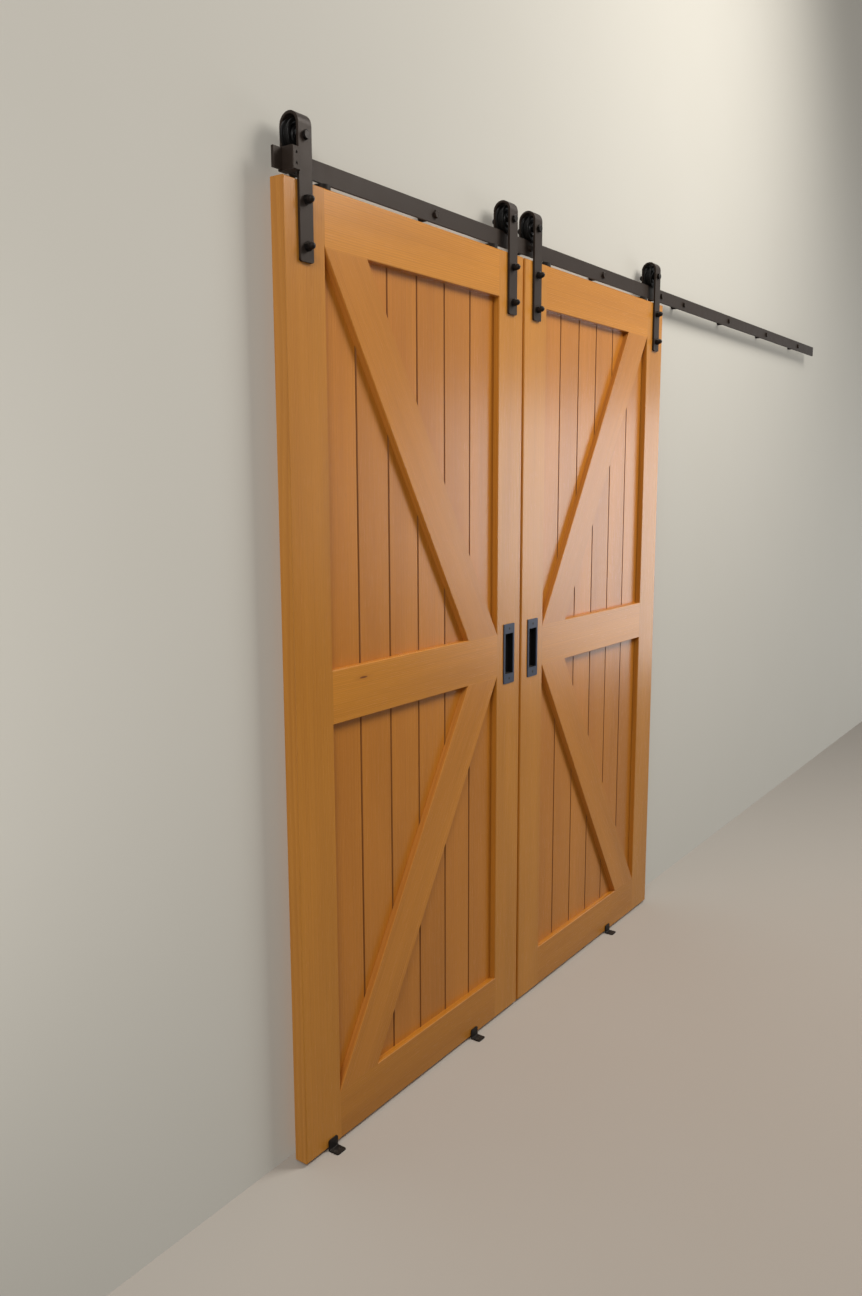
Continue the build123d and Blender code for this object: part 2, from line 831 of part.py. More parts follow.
# Floor guides
def guide_screw_places(x):
    return (x - guide_screw_spacing / 2, x + guide_screw_spacing / 2)


def floor_guide(x, face):
    """One angle bracket, with the back of its upright at y = face and its foot to the front."""
    upright_top = leaf_bottom + guide_overlap
    foot_front = face - guide_foot
    outline = [
        (face, floor_level),
        (face, upright_top),
        (face - guide_thickness, upright_top),
        (face - guide_thickness, floor_level + guide_thickness),
        (foot_front, floor_level + guide_thickness),
        (foot_front, floor_level),
    ]
    start = x - guide_width / 2
    section = make_face(Polyline(*[(start, y, z) for y, z in outline], close=True))
    bracket = extrude(section, amount=guide_width, dir=(1, 0, 0))
    inner = [
        edge
        for edge in bracket.edges().filter_by(Axis.X)
        if abs(edge.center().Y - face + guide_thickness) < guide_thickness / 2
        and abs(edge.center().Z - floor_level - guide_thickness) < guide_thickness / 2
    ]
    bracket = fillet(inner, guide_bend_radius)
    rounded = [
        edge
        for edge in bracket.edges().filter_by(Axis.Z)
        if edge.center().Y < foot_front + guide_thickness / 2
    ]
    bracket = fillet(rounded, guide_corner)
    top_corners = [
        edge
        for edge in bracket.edges().filter_by(Axis.Y)
        if edge.center().Z > upright_top - guide_thickness / 2
    ]
    bracket = fillet(top_corners, guide_corner)
    hole = guide_screw_radius + screw_hole_gap
    for place in guide_screw_places(x):
        top = looking_up(place, foot_front + guide_screw_setback, floor_level + guide_thickness)
        cut = (hole, guide_screw_head_radius, guide_screw_head_height, guide_thickness)
        bracket -= countersink(top, *cut)
    return bracket


def make_guides():
    faces = (leaf_front - guide_clearance, leaf_back + guide_clearance + guide_thickness)
    brackets = []
    screws = []
    for x in guide_positions:
        for face in faces:
            brackets.append(floor_guide(x, face))
            screw_y = face - guide_foot + guide_screw_setback
            for place in guide_screw_places(x):
                top = looking_up(place, screw_y, floor_level + guide_thickness)
                screws.append(
                    countersunk_screw(
                        top,
                        guide_screw_radius,
                        guide_screw_head_radius,
                        guide_screw_head_height,
                        guide_screw_length,
                        guide_screw_tip,
                    )
                )
    store("floor_guides", *brackets)
    store("guide_screws", *screws)


make_frame()
make_boards()
make_braces()
make_hangers()
make_fittings()
make_rail()
make_stop()
make_guides()

os.makedirs("parts", exist_ok=True)
for name, piece in pieces.items():
    export_step(piece, f"parts/{name}.step")

print("nodes", len(pieces))
print("free travel of the pair", round(door_travel, 3))
print("rolling radius", rolling_radius, "axle height", axle_height)
print("leaf gap", leaf_gap, "hangers", [round(left_leaf_edge + u, 3) for u in strap_places])
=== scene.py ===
"""Looks for a pair of sliding barn doors: clear-finished softwood leaves on black steel gear."""

from math import acos, atan2, cos, hypot, pi, radians, sin, tan

import bmesh
import bpy
import numpy as np
from bpy.props import FloatProperty, FloatVectorProperty, IntProperty, PointerProperty
from mathutils import Euler, Matrix, Vector


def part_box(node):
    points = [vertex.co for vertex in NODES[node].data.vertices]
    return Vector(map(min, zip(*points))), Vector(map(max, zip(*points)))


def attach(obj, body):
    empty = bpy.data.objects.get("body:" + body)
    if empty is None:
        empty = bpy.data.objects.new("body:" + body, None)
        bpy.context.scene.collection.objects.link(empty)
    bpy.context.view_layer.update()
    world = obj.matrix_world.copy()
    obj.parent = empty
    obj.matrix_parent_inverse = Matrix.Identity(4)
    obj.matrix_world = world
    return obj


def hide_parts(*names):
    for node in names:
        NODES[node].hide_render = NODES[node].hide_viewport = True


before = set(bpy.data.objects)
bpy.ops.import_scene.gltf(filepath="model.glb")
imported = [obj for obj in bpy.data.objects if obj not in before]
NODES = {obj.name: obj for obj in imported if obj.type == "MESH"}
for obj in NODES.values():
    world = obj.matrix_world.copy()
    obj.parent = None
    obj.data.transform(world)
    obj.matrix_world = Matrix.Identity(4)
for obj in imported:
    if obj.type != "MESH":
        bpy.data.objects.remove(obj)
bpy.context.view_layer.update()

bl_info = {
    "name": "Sliding Barn Doors",
    "version": (1, 0, 0),
    "blender": (4, 5, 0),
    "location": "3D View > Sidebar > Barn Doors",
    "description": "Dresses a pair of sliding barn doors and their hanging gear",
    "category": "Object",
}

SIDES = ("left", "right")
PLACES = ("outer", "inner")
RAIL_BODY = "rail_frame"


# Settings that a user may change


def colour(name, description, value):
    return FloatVectorProperty(
        name=name, description=description, default=value, size=4, subtype="COLOR", min=0.0, max=1.0
    )


def share(name, description, value):
    return FloatProperty(
        name=name, description=description, default=value, min=0.0, max=1.0, subtype="FACTOR"
    )


def length(name, description, value):
    return FloatProperty(
        name=name, description=description, default=value, min=0.0, unit="LENGTH", precision=5
    )


def power(name, description, value):
    return FloatProperty(name=name, description=description, default=value, min=0.0, unit="POWER")


class TimberSettings(bpy.types.PropertyGroup):
    """Colours and grain of the varnished softwood"""

    stile_colour: colour("Stiles", "Pale wood of the stiles", (0.53, 0.212, 0.026, 1.0))
    rail_colour: colour("Rails", "Pale wood of the three rails", (0.56, 0.218, 0.023, 1.0))
    board_colour: colour("Boards", "Pale wood of the boards", (0.52, 0.19, 0.022, 1.0))
    brace_colour: colour("Braces", "Pale wood of the braces", (0.54, 0.205, 0.024, 1.0))
    late_colour: colour("Growth lines", "Dark part of each growth ring", (0.32, 0.092, 0.008, 1.0))
    knot_colour: colour("Knots", "Wood of a small knot", (0.11, 0.03, 0.008, 1.0))
    ring_width: length("Ring width", "Distance between growth rings", 0.0034)
    wander: length("Wander", "How far the grain strays from a straight line", 0.012)
    contrast: share("Contrast", "How strongly the growth rings show", 0.36)
    gloss: share("Varnish", "How smooth the clear varnish is", 0.74)


class SteelSettings(bpy.types.PropertyGroup):
    """Colours of the black steel gear"""

    rail_colour: colour("Rail and straps", "Powder coat of the flat steel", (0.024, 0.0165, 0.0125, 1.0))
    nut_colour: colour("Nuts and bolts", "Black of the nuts and bolts", (0.008, 0.007, 0.0065, 1.0))
    wheel_colour: colour("Wheels", "Black of the turned wheels", (0.006, 0.0055, 0.005, 1.0))
    pull_colour: colour("Flush pulls", "Gunmetal of the pull's plate", (0.042, 0.057, 0.09, 1.0))
    bright_colour: colour("Bearings", "Ground steel of the bearings", (0.13, 0.13, 0.135, 1.0))
    dust_colour: colour("Dust", "Dust on what faces up", (0.42, 0.36, 0.3, 1.0))
    dust: share("Dust amount", "How much dust lies on what faces up", 0.15)


class FittingSettings(bpy.types.PropertyGroup):
    """Sizes of the bolts, nuts, screws and wheels"""

    wall_bolt_flats: length("Wall bolt flats", "Across the flats of a wall bolt's head", 0.016)
    axle_bolt_flats: length("Axle bolt flats", "Across the flats of an axle bolt's head", 0.017)
    nut_flats: length("Nut flats", "Across the flats of a cap nut", 0.017)
    thread_pitch: length("Thread pitch", "Pitch of the wall bolts' thread", 0.004)
    thread_depth: length("Thread depth", "Depth of the wall bolts' thread", 0.0011)
    recess_width: length("Screw recess", "Width of one arm of a screw's cross recess", 0.0011)
    wheel_steps: IntProperty(
        name="Wheel steps", description="Steps round a turned piece", default=112, min=24, max=256
    )


class StageSettings(bpy.types.PropertyGroup):
    """Floor, backdrop, lamps and camera"""

    floor_colour: colour("Floor", "Plain pale floor", (0.47, 0.425, 0.37, 1.0))
    backdrop_colour: colour("Backdrop", "Plain pale backdrop", (0.43, 0.406, 0.356, 1.0))
    backdrop_glow: share("Backdrop glow", "How far the backdrop shines evenly through itself", 0.3)
    key_power: power("Key lamp", "Power of the large soft lamp", 68.0)
    fill_power: power("Fill lamp", "Power of the lamp beside the camera", 44.0)
    side_power: power("Side lamp", "Power of the lamp beside the left edge", 3.2)
    sheen_power: power("Window lamps", "Power of the lamps that the varnish mirrors", 48.0)
    sky: share("Surround", "Strength of the plain surround", 0.15)
    back_light: share("Light behind", "Strength of the soft light that reaches the back of the leaves", 0.9)


SETTINGS = {
    "barn_door_timber": TimberSettings,
    "barn_door_steel": SteelSettings,
    "barn_door_fittings": FittingSettings,
    "barn_door_stage": StageSettings,
}


# Helpers for shader trees


class Shade:
    """Adds nodes to one node tree and links them."""

    def __init__(self, tree):
        self.tree = tree

    def link(self, value, socket):
        """Links a socket, or sets a plain value."""
        if isinstance(value, bpy.types.NodeSocket):
            self.tree.links.new(value, socket)
        else:
            socket.default_value = value

    def node(self, kind, inputs=None, **settings):
        made = self.tree.nodes.new(kind)
        for key, value in settings.items():
            setattr(made, key, value)
        for key, value in (inputs or {}).items():
            self.link(value, made.inputs[key])
        return made

    def math(self, operation, *values, clamp=False):
        made = self.tree.nodes.new("ShaderNodeMath")
        made.operation = operation
        made.use_clamp = clamp
        for socket, value in zip(made.inputs, values):
            self.link(value, socket)
        return made.outputs[0]

    def plus(self, a, b):
        return self.math("ADD", a, b)

    def minus(self, a, b):
        return self.math("SUBTRACT", a, b)

    def times(self, a, b, clamp=False):
        return self.math("MULTIPLY", a, b, clamp=clamp)

    def over(self, a, b, clamp=False):
        return self.math("DIVIDE", a, b, clamp=clamp)

    def distance(self, a, b):
        """Length of a slope from its two sides."""
        return self.math("SQRT", self.plus(self.math("POWER", a, 2.0), self.math("POWER", b, 2.0)))

    def vector(self, operation, a, b):
        return self.node("ShaderNodeVectorMath", {0: a, 1: b}, operation=operation).outputs[0]

    def scaled(self, vector, factor):
        made = self.node("ShaderNodeVectorMath", {0: vector, "Scale": factor}, operation="SCALE")
        return made.outputs[0]

    def split(self, vector):
        return self.node("ShaderNodeSeparateXYZ", {0: vector}).outputs

    def join(self, x, y, z):
        return self.node("ShaderNodeCombineXYZ", {0: x, 1: y, 2: z}).outputs[0]

    def noise(self, vector, scale=1.0, detail=2.0, roughness=0.5):
        values = {"Vector": vector, "Scale": scale, "Detail": detail, "Roughness": roughness}
        return self.node("ShaderNodeTexNoise", values).outputs

    def stretched(self, vector, across, along, detail, roughness=0.5):
        """Noise at one scale across and another along Z."""
        scaled = self.vector("MULTIPLY", vector, (across, across, along))
        return self.noise(scaled, 1.0, detail, roughness)

    def mix(self, factor, a, b, blend="MIX"):
        made = self.node("ShaderNodeMix", data_type="RGBA", blend_type=blend)
        self.link(factor, made.inputs[0])
        self.link(a, made.inputs[6])
        self.link(b, made.inputs[7])
        return made.outputs[2]

    def ramp(self, value, low, high, out_low=0.0, out_high=1.0):
        """Goes smoothly from one value to another."""
        values = dict(enumerate((value, low, high, out_low, out_high)))
        return self.node("ShaderNodeMapRange", values, interpolation_type="SMOOTHSTEP").outputs[0]


def new_tree(name, kind, inputs, outputs):
    """An empty node tree with its sockets, its helper and both ends."""
    tree = bpy.data.node_groups.new(name, kind)
    for socket_name, socket, default in inputs:
        made = tree.interface.new_socket(name=socket_name, in_out="INPUT", socket_type=socket)
        if default is not None:
            made.default_value = default
    for socket_name, socket in outputs:
        tree.interface.new_socket(name=socket_name, in_out="OUTPUT", socket_type=socket)
    start = tree.nodes.new("NodeGroupInput")
    end = tree.nodes.new("NodeGroupOutput")
    return tree, Shade(tree), start.outputs, end.inputs


def built_once(name):
    """Makes a function build its node tree the first time, and find it by its name later."""
    def wrap(build):
        return lambda: bpy.data.node_groups.get(name) or build(name)
    return wrap


FLOAT, VECTOR, COLOUR = "NodeSocketFloat", "NodeSocketVector", "NodeSocketColor"
WHOLE, GEOMETRY = "NodeSocketInt", "NodeSocketGeometry"
SURFACE_OUTPUTS = [("Color", COLOUR), ("Roughness", FLOAT), ("Height", FLOAT)]


@built_once("Softwood Grain")
def softwood_group(name):
    """Growth rings, fibres, tone, painted shade on the boards' groove flanks and one knot of a sawn length
    of softwood.
    """
    inputs = [
        ("Vector", VECTOR, None),
        ("Normal", VECTOR, None),
        ("Turn", VECTOR, (0.0, 0.0, 0.0)),
        ("Centre", VECTOR, (0.0, 0.0, 0.0)),
        ("Heart", VECTOR, (0.3, 0.1, 0.0)),
        ("Knot", VECTOR, (9.0, 9.0, 9.0)),
        ("Knot Size", FLOAT, 0.004),
        ("Ring Width", FLOAT, 0.003),
        ("Wander", FLOAT, 0.01),
        ("Contrast", FLOAT, 0.5),
        ("Seed", FLOAT, 0.0),
        ("Tone", FLOAT, 1.0),
        ("Groove Shade", FLOAT, 0.0),
        ("Gloss", FLOAT, 0.7),
        ("Early Colour", COLOUR, (0.5, 0.22, 0.06, 1.0)),
        ("Late Colour", COLOUR, (0.3, 0.1, 0.02, 1.0)),
        ("Knot Colour", COLOUR, (0.1, 0.03, 0.01, 1.0)),
    ]
    tree, s, ins, outs = new_tree(name, "ShaderNodeTree", inputs, SURFACE_OUTPUTS)

    values = {"Vector": s.vector("SUBTRACT", ins["Vector"], ins["Centre"]), "Rotation": ins["Turn"]}
    turn = s.node("ShaderNodeVectorRotate", values, rotation_type="EULER_XYZ").outputs[0]
    values = {"Vector": ins["Normal"], "Rotation": ins["Turn"]}
    facing = s.node("ShaderNodeVectorRotate", values, rotation_type="EULER_XYZ").outputs[0]
    shift = s.scaled(s.join(7.31, 3.17, 11.93), ins["Seed"])
    along = s.vector("ADD", turn, shift)

    knot_gap = s.split(s.vector("SUBTRACT", turn, ins["Knot"]))
    knot_far = s.distance(knot_gap[0], s.times(knot_gap[2], 0.16))
    knot_rate = s.over(knot_far, ins["Knot Size"])
    bulge = s.ramp(knot_rate, 0.0, 5.0, 0.75, 0.0)

    broad = s.stretched(along, 1.6, 0.45, 2.0)["Color"]
    broad = s.vector("SUBTRACT", broad, (0.5, 0.5, 0.5))
    fine = s.stretched(along, 14.0, 2.2, 2.0)["Color"]
    fine = s.vector("SUBTRACT", fine, (0.5, 0.5, 0.5))
    fine = s.scaled(fine, s.times(ins["Wander"], 0.12))
    sway = s.vector("ADD", s.scaled(broad, ins["Wander"]), fine)
    strayed = s.vector("ADD", turn, s.scaled(sway, 2.0))
    placed = s.split(strayed)
    across = s.minus(placed[0], s.times(knot_gap[0], bulge))
    heart = s.split(ins["Heart"])
    radius = s.distance(s.minus(across, heart[0]), s.minus(placed[1], heart[1]))
    rings = s.over(radius, ins["Ring Width"])
    uneven = s.noise(s.join(s.times(rings, 0.11), ins["Seed"], 0.0), 1.0, 3.0)["Fac"]
    rings = s.plus(rings, s.times(uneven, 6.0))
    step = s.math("FRACT", rings)
    late = s.minus(s.ramp(step, 0.25, 0.86), s.ramp(step, 0.9, 1.0))
    whole = {"W": s.math("FLOOR", rings)}
    each = s.node("ShaderNodeTexWhiteNoise", whole, noise_dimensions="1D").outputs[0]
    late = s.times(late, s.plus(s.times(each, 0.6), 0.4))

    fibre = s.stretched(along, 1500.0, 24.0, 2.0)["Fac"]
    streak = s.stretched(along, 180.0, 2.6, 3.0, 0.6)["Fac"]
    cloud = s.stretched(along, 9.0, 1.1, 3.0)["Fac"]
    tick = s.ramp(s.stretched(along, 700.0, 34.0, 1.0)["Fac"], 0.68, 0.78)

    end_grain = s.ramp(s.math("ABSOLUTE", s.split(facing)[2]), 0.7, 0.95)
    amount = s.times(late, ins["Contrast"])
    amount = s.times(amount, s.plus(s.times(end_grain, 0.8), 1.0), clamp=True)
    paint = s.mix(amount, ins["Early Colour"], ins["Late Colour"])
    paint = s.mix(s.times(tick, 0.28), paint, ins["Late Colour"])
    # The flanks of the boards' V-grooves are darkened by up to half: painted shade in the grooves, with a
    # little stain.
    side = s.math("ABSOLUTE", s.split(ins["Normal"])[0])
    groove_shade = s.times(s.ramp(side, 0.2, 0.6), ins["Groove Shade"])
    tone = ins["Tone"]
    for factor in (
        s.ramp(cloud, 0.25, 0.75, 0.9, 1.08), s.ramp(streak, 0.25, 0.75, 0.965, 1.03),
        s.ramp(fibre, 0.2, 0.8, 0.96, 1.035), s.minus(1.0, s.times(groove_shade, 0.5)),
        s.ramp(end_grain, 0.0, 1.0, 1.0, 0.72),
    ):
        tone = s.times(tone, factor)
    warmth = s.join(tone, s.math("POWER", tone, 1.15), s.math("POWER", tone, 1.35))
    paint = s.mix(1.0, paint, warmth, "MULTIPLY")
    knot_ring = s.math("SINE", s.times(knot_rate, 14.0))
    ragged = s.plus(knot_rate, s.times(s.minus(streak, 0.5), 1.6))
    knot = s.ramp(ragged, 0.7, 1.1, 1.0, 0.0)
    share_late = s.plus(s.times(knot_ring, 0.2), 0.3)
    knot_paint = s.mix(share_late, ins["Knot Colour"], ins["Late Colour"])
    halo = s.ramp(knot_rate, 0.9, 3.2, 0.3, 0.0)
    paint = s.mix(halo, paint, ins["Late Colour"])
    paint = s.mix(knot, paint, knot_paint)

    arris = s.times(s.ramp(side, 0.1, 0.4), s.ramp(side, 0.9, 0.98, 1.0, 0.0))
    rough = s.plus(s.times(late, -0.03), s.times(fibre, 0.07))
    rough = s.plus(rough, s.minus(0.97, ins["Gloss"]))
    rough = s.plus(rough, s.times(arris, 0.4))
    rough = s.plus(rough, s.ramp(end_grain, 0.0, 1.0, 0.0, 0.35))
    height = s.plus(s.times(late, 0.5), s.times(fibre, 0.35))
    height = s.minus(height, s.times(tick, 0.35))
    height = s.plus(height, s.times(streak, 0.4))
    s.link(paint, outs["Color"])
    s.link(rough, outs["Roughness"])
    s.link(height, outs["Height"])
    return tree


@built_once("Powder Coat")
def powder_coat_group(name):
    """Fine texture, soft mottling, faint rubs and dust of painted steel, and near-black painted shade
    inside a pull's cup.
    """
    inputs = [
        ("Vector", VECTOR, None),
        ("Normal", VECTOR, None),
        ("Colour", COLOUR, (0.05, 0.05, 0.05, 1.0)),
        ("Dust Colour", COLOUR, (0.4, 0.35, 0.3, 1.0)),
        ("Dust", FLOAT, 0.3),
        ("Grain", FLOAT, 1.0),
        ("Roughness", FLOAT, 0.5),
        ("Cup Level", FLOAT, 9.0),
    ]
    tree, s, ins, outs = new_tree(name, "ShaderNodeTree", inputs, SURFACE_OUTPUTS)
    peel = s.noise(ins["Vector"], s.times(ins["Grain"], 700.0), 2.0)["Fac"]
    speck = s.noise(ins["Vector"], s.times(ins["Grain"], 2600.0), 1.0)["Fac"]
    mottle = s.noise(ins["Vector"], 23.0, 4.0, 0.6)["Fac"]
    rub = s.stretched(ins["Vector"], 60.0, 900.0, 2.0)["Fac"]
    rub = s.times(s.ramp(rub, 0.7, 0.78), s.ramp(mottle, 0.5, 0.7))
    drift = s.noise(ins["Vector"], 55.0, 5.0, 0.65)["Fac"]
    up = s.ramp(s.split(ins["Normal"])[2], 0.35, 0.95)
    dust = s.times(s.times(up, s.ramp(drift, 0.3, 0.75)), ins["Dust"])
    paint = s.mix(s.ramp(mottle, 0.3, 0.75, 0.0, 0.08), ins["Colour"], (0.1, 0.08, 0.065, 1.0))
    bare = (0.3, 0.27, 0.24, 1.0)
    paint = s.mix(s.times(s.ramp(speck, 0.6, 0.74), 0.05), paint, bare)
    paint = s.mix(s.times(rub, 0.12), paint, bare)
    # Behind the cup level the colour goes near black: painted shade inside the pull's cup.
    cup_shade = s.ramp(s.split(ins["Vector"])[1], s.minus(ins["Cup Level"], 0.0006), ins["Cup Level"])
    paint = s.mix(cup_shade, paint, (0.004, 0.004, 0.0045, 1.0))
    paint = s.mix(dust, paint, ins["Dust Colour"])
    rough = s.plus(ins["Roughness"], s.ramp(mottle, 0.3, 0.75, -0.05, 0.06))
    rough = s.plus(rough, s.times(dust, 0.3))
    rough = s.math("MAXIMUM", rough, s.times(cup_shade, 0.95))
    s.link(paint, outs["Color"])
    s.link(rough, outs["Roughness"])
    s.link(s.plus(peel, s.times(speck, 0.25)), outs["Height"])
    return tree


@built_once("Turning Marks")
def turned_marks_group(name):
    """Fine rings that a lathe leaves round an axis along Y."""
    inputs = [
        ("Vector", VECTOR, None),
        ("Axis Place", VECTOR, (0.0, 0.0, 0.0)),
        ("Pitch", FLOAT, 0.0004),
        ("Colour", COLOUR, (0.5, 0.5, 0.5, 1.0)),
        ("Roughness", FLOAT, 0.3),
    ]
    tree, s, ins, outs = new_tree(name, "ShaderNodeTree", inputs, SURFACE_OUTPUTS)
    off = s.split(s.vector("SUBTRACT", ins["Vector"], ins["Axis Place"]))
    radius = s.distance(off[0], off[2])
    turns = s.over(s.plus(radius, off[1]), ins["Pitch"])
    line = s.noise(s.join(turns, 0.0, 0.0), 0.7, 3.0, 0.7)["Fac"]
    stain = s.noise(ins["Vector"], 120.0, 4.0, 0.6)["Fac"]
    paint = s.mix(s.ramp(line, 0.3, 0.7, 0.0, 0.3), ins["Colour"], (0.02, 0.018, 0.017, 1.0))
    paint = s.mix(s.ramp(stain, 0.5, 0.8, 0.0, 0.3), paint, (0.035, 0.029, 0.025, 1.0))
    s.link(paint, outs["Color"])
    s.link(s.plus(ins["Roughness"], s.ramp(line, 0.3, 0.7, -0.06, 0.1)), outs["Roughness"])
    s.link(line, outs["Height"])
    return tree


# Materials

TIMBER_BUMP = 0.00007
TURNED_BUMP = 0.00003
VARNISH_IOR = 1.41
KNOT_SIZE = 0.0024


def new_material(name):
    """A node material with a Principled BSDF and the coordinates of its object."""
    made = bpy.data.materials.new(name)
    made.use_nodes = True
    made.node_tree.nodes.clear()
    s = Shade(made.node_tree)
    surface = s.node("ShaderNodeBsdfPrincipled")
    end = s.node("ShaderNodeOutputMaterial")
    s.link(surface.outputs[0], end.inputs["Surface"])
    place = s.node("ShaderNodeTexCoord")
    return made, s, surface, place.outputs


def grouped_material(name, tree, values, height, plain):
    """A material whose colour, roughness and bump come from a shader group."""
    made, s, surface, place = new_material(name)
    group = s.node("ShaderNodeGroup", {"Vector": place["Object"], **values}, node_tree=tree)
    if "Normal" in group.inputs:
        s.link(place["Normal"], group.inputs["Normal"])
    s.link(group.outputs["Color"], surface.inputs["Base Color"])
    s.link(group.outputs["Roughness"], surface.inputs["Roughness"])
    bump = {"Strength": 1.0, "Distance": height, "Height": group.outputs["Height"]}
    s.link(s.node("ShaderNodeBump", bump).outputs[0], surface.inputs["Normal"])
    for socket, value in plain.items():
        surface.inputs[socket].default_value = value
    return made


def dress_timber(node, early, grain, heart, seed, tone, knot=None, groove=0.0):
    """Gives a node varnished softwood whose grain runs along a direction in the leaf's plane."""
    settings = bpy.context.scene.barn_door_timber
    centre = centre_of(node)
    turn = atan2(-grain[0], grain[2])
    values = {
        "Turn": (0.0, turn, 0.0), "Centre": centre, "Heart": (*heart, 0.0),
        "Ring Width": settings.ring_width, "Wander": settings.wander, "Contrast": settings.contrast,
        "Seed": seed, "Tone": tone, "Early Colour": early,
        "Late Colour": settings.late_colour, "Knot Colour": settings.knot_colour,
        "Knot Size": KNOT_SIZE, "Groove Shade": groove, "Gloss": settings.gloss,
    }
    if knot is not None:
        values["Knot"] = Matrix.Rotation(turn, 3, "Y") @ (Vector((knot[0], centre.y, knot[1])) - centre)
    plain = {"IOR": VARNISH_IOR}
    dress(node, grouped_material(f"{node}_timber", softwood_group(), values, TIMBER_BUMP, plain))


def steel_material(
    name, paint, roughness=0.5, grain=1.0, bump=0.00005, metallic=0.0, cup_level=9.0, dust=1.0
):
    """Painted steel with its fine texture and a little dust on top, and near-black painted shade behind a
    level of Y.
    """
    settings = bpy.context.scene.barn_door_steel
    values = {
        "Colour": paint, "Dust Colour": settings.dust_colour, "Dust": settings.dust * dust,
        "Grain": grain, "Roughness": roughness, "Cup Level": cup_level,
    }
    plain = {
        "Metallic": metallic, "IOR": 1.5, "Specular IOR Level": 0.15,
        "Specular Tint": (1.0, 0.82, 0.7, 1.0),
    }
    return grouped_material(name, powder_coat_group(), values, bump, plain)


def turned_material(name, paint, centre, roughness, metallic):
    """Turned steel with its rings about one axle."""
    values = {"Axis Place": centre, "Colour": paint, "Roughness": roughness}
    plain = {"Metallic": metallic, "Specular IOR Level": 0.2}
    return grouped_material(name, turned_marks_group(), values, TURNED_BUMP, plain)


def dress(node, material):
    """Gives a CAD node its material."""
    data = NODES[node].data
    data.materials.clear()
    data.materials.append(material)


# Geometry helpers


def centre_of(node):
    low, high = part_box(node)
    return (low + high) / 2


def solids_of(node):
    """Lowest and highest corner of each solid of a CAD node, from left to right and then upwards."""
    mesh = NODES[node].data
    points = np.empty(len(mesh.vertices) * 3)
    mesh.vertices.foreach_get("co", points)
    points = points.reshape(-1, 3)
    _, same = np.unique(np.round(points * 1e6).astype(np.int64), axis=0, return_inverse=True)
    mesh.calc_loop_triangles()
    corners = np.empty(len(mesh.loop_triangles) * 3, np.int64)
    mesh.loop_triangles.foreach_get("vertices", corners)
    faces = same.ravel()[corners].reshape(-1, 3)
    label = np.arange(same.max() + 1)
    while True:
        lowest = label[faces].min(axis=1)
        before = label.copy()
        for corner in range(3):
            np.minimum.at(label, faces[:, corner], lowest)
        label = label[label]
        if np.array_equal(before, label):
            break
    owner = label[same.ravel()]
    solids = [points[owner == one] for one in np.unique(owner)]
    boxes = [(solid.min(axis=0), solid.max(axis=0)) for solid in solids]
    return sorted(boxes, key=lambda b: (round(float(b[0][0]), 4), round(float(b[0][2]), 4)))


def new_object(name, data):
    """An object at the origin of the scene."""
    made = bpy.data.objects.new(name, data)
    bpy.context.scene.collection.objects.link(made)
    return made


def new_piece(name, points, faces, material, sharp=35.0):
    """A mesh object from points and faces, smooth but for its sharp edges."""
    mesh = bpy.data.meshes.new(name)
    mesh.from_pydata([tuple(p) for p in points], [], faces)
    mesh.validate()
    mesh.polygons.foreach_set("use_smooth", [True] * len(mesh.polygons))
    mesh.set_sharp_from_angle(angle=radians(sharp))
    if material is not None:
        mesh.materials.append(material)
    return new_object(name, mesh)


def eased(outline, size, steps=3):
    """A closed outline of 2-D points with each corner rounded."""
    made = []
    count = len(outline)
    for index, corner in enumerate(outline):
        here = np.array(corner, float)
        back = np.array(outline[index - 1], float) - here
        ahead = np.array(outline[(index + 1) % count], float) - here
        reach = min(size, np.linalg.norm(back) * 0.45, np.linalg.norm(ahead) * 0.45)
        first = here + back / np.linalg.norm(back) * reach
        last = here + ahead / np.linalg.norm(ahead) * reach
        for step in range(steps + 1):
            t = step / steps
            made.append((1 - t) ** 2 * first + 2 * t * (1 - t) * here + t * t * last)
    return made


def turned_piece(name, outline, centre, material, steps):
    """A ring turned about Y from a closed outline of (radius, distance along Y) points."""
    count = len(outline)
    angles = [2 * pi * turn / steps for turn in range(steps)]
    points = [
        (centre[0] + radius * cos(angle), centre[1] + along, centre[2] + radius * sin(angle))
        for angle in angles for radius, along in outline
    ]
    faces = []
    for turn in range(steps):
        here, there = turn * count, (turn + 1) % steps * count
        for index in range(count):
            after = (index + 1) % count
            faces.append((here + index, here + after, there + after, there + index))
    made = new_piece(name, points, faces, material)
    outward(made)
    return made


def outward(piece):
    """Turns the faces of a closed shape outwards."""
    mesh = bmesh.new()
    mesh.from_mesh(piece.data)
    bmesh.ops.recalc_face_normals(mesh, faces=mesh.faces)
    mesh.to_mesh(piece.data)
    mesh.free()


# Master shapes of the fittings. Each stands on the origin and points along +Z.


def stacked_rings(rings):
    """Points and faces of a closed shape made of rings of equal count, from the bottom up."""
    count = len(rings[0])
    points = [tuple(p) for ring in rings for p in ring]
    faces = [tuple(reversed(range(count)))]
    for level in range(len(rings) - 1):
        low, high = level * count, (level + 1) * count
        for index in range(count):
            after = (index + 1) % count
            faces.append((low + index, low + after, high + after, high + index))
    faces.append(tuple(range((len(rings) - 1) * count, len(rings) * count)))
    return points, faces


def hexagon_reach(angle, flats):
    """Distance from the middle of a hexagon to its edge."""
    return flats / 2 / cos((angle + pi / 6) % (pi / 3) - pi / 6)


def ring(radius, height, steps=72):
    angles = [2 * pi * step / steps for step in range(steps)]
    return [(radius * cos(angle), radius * sin(angle), height) for angle in angles]


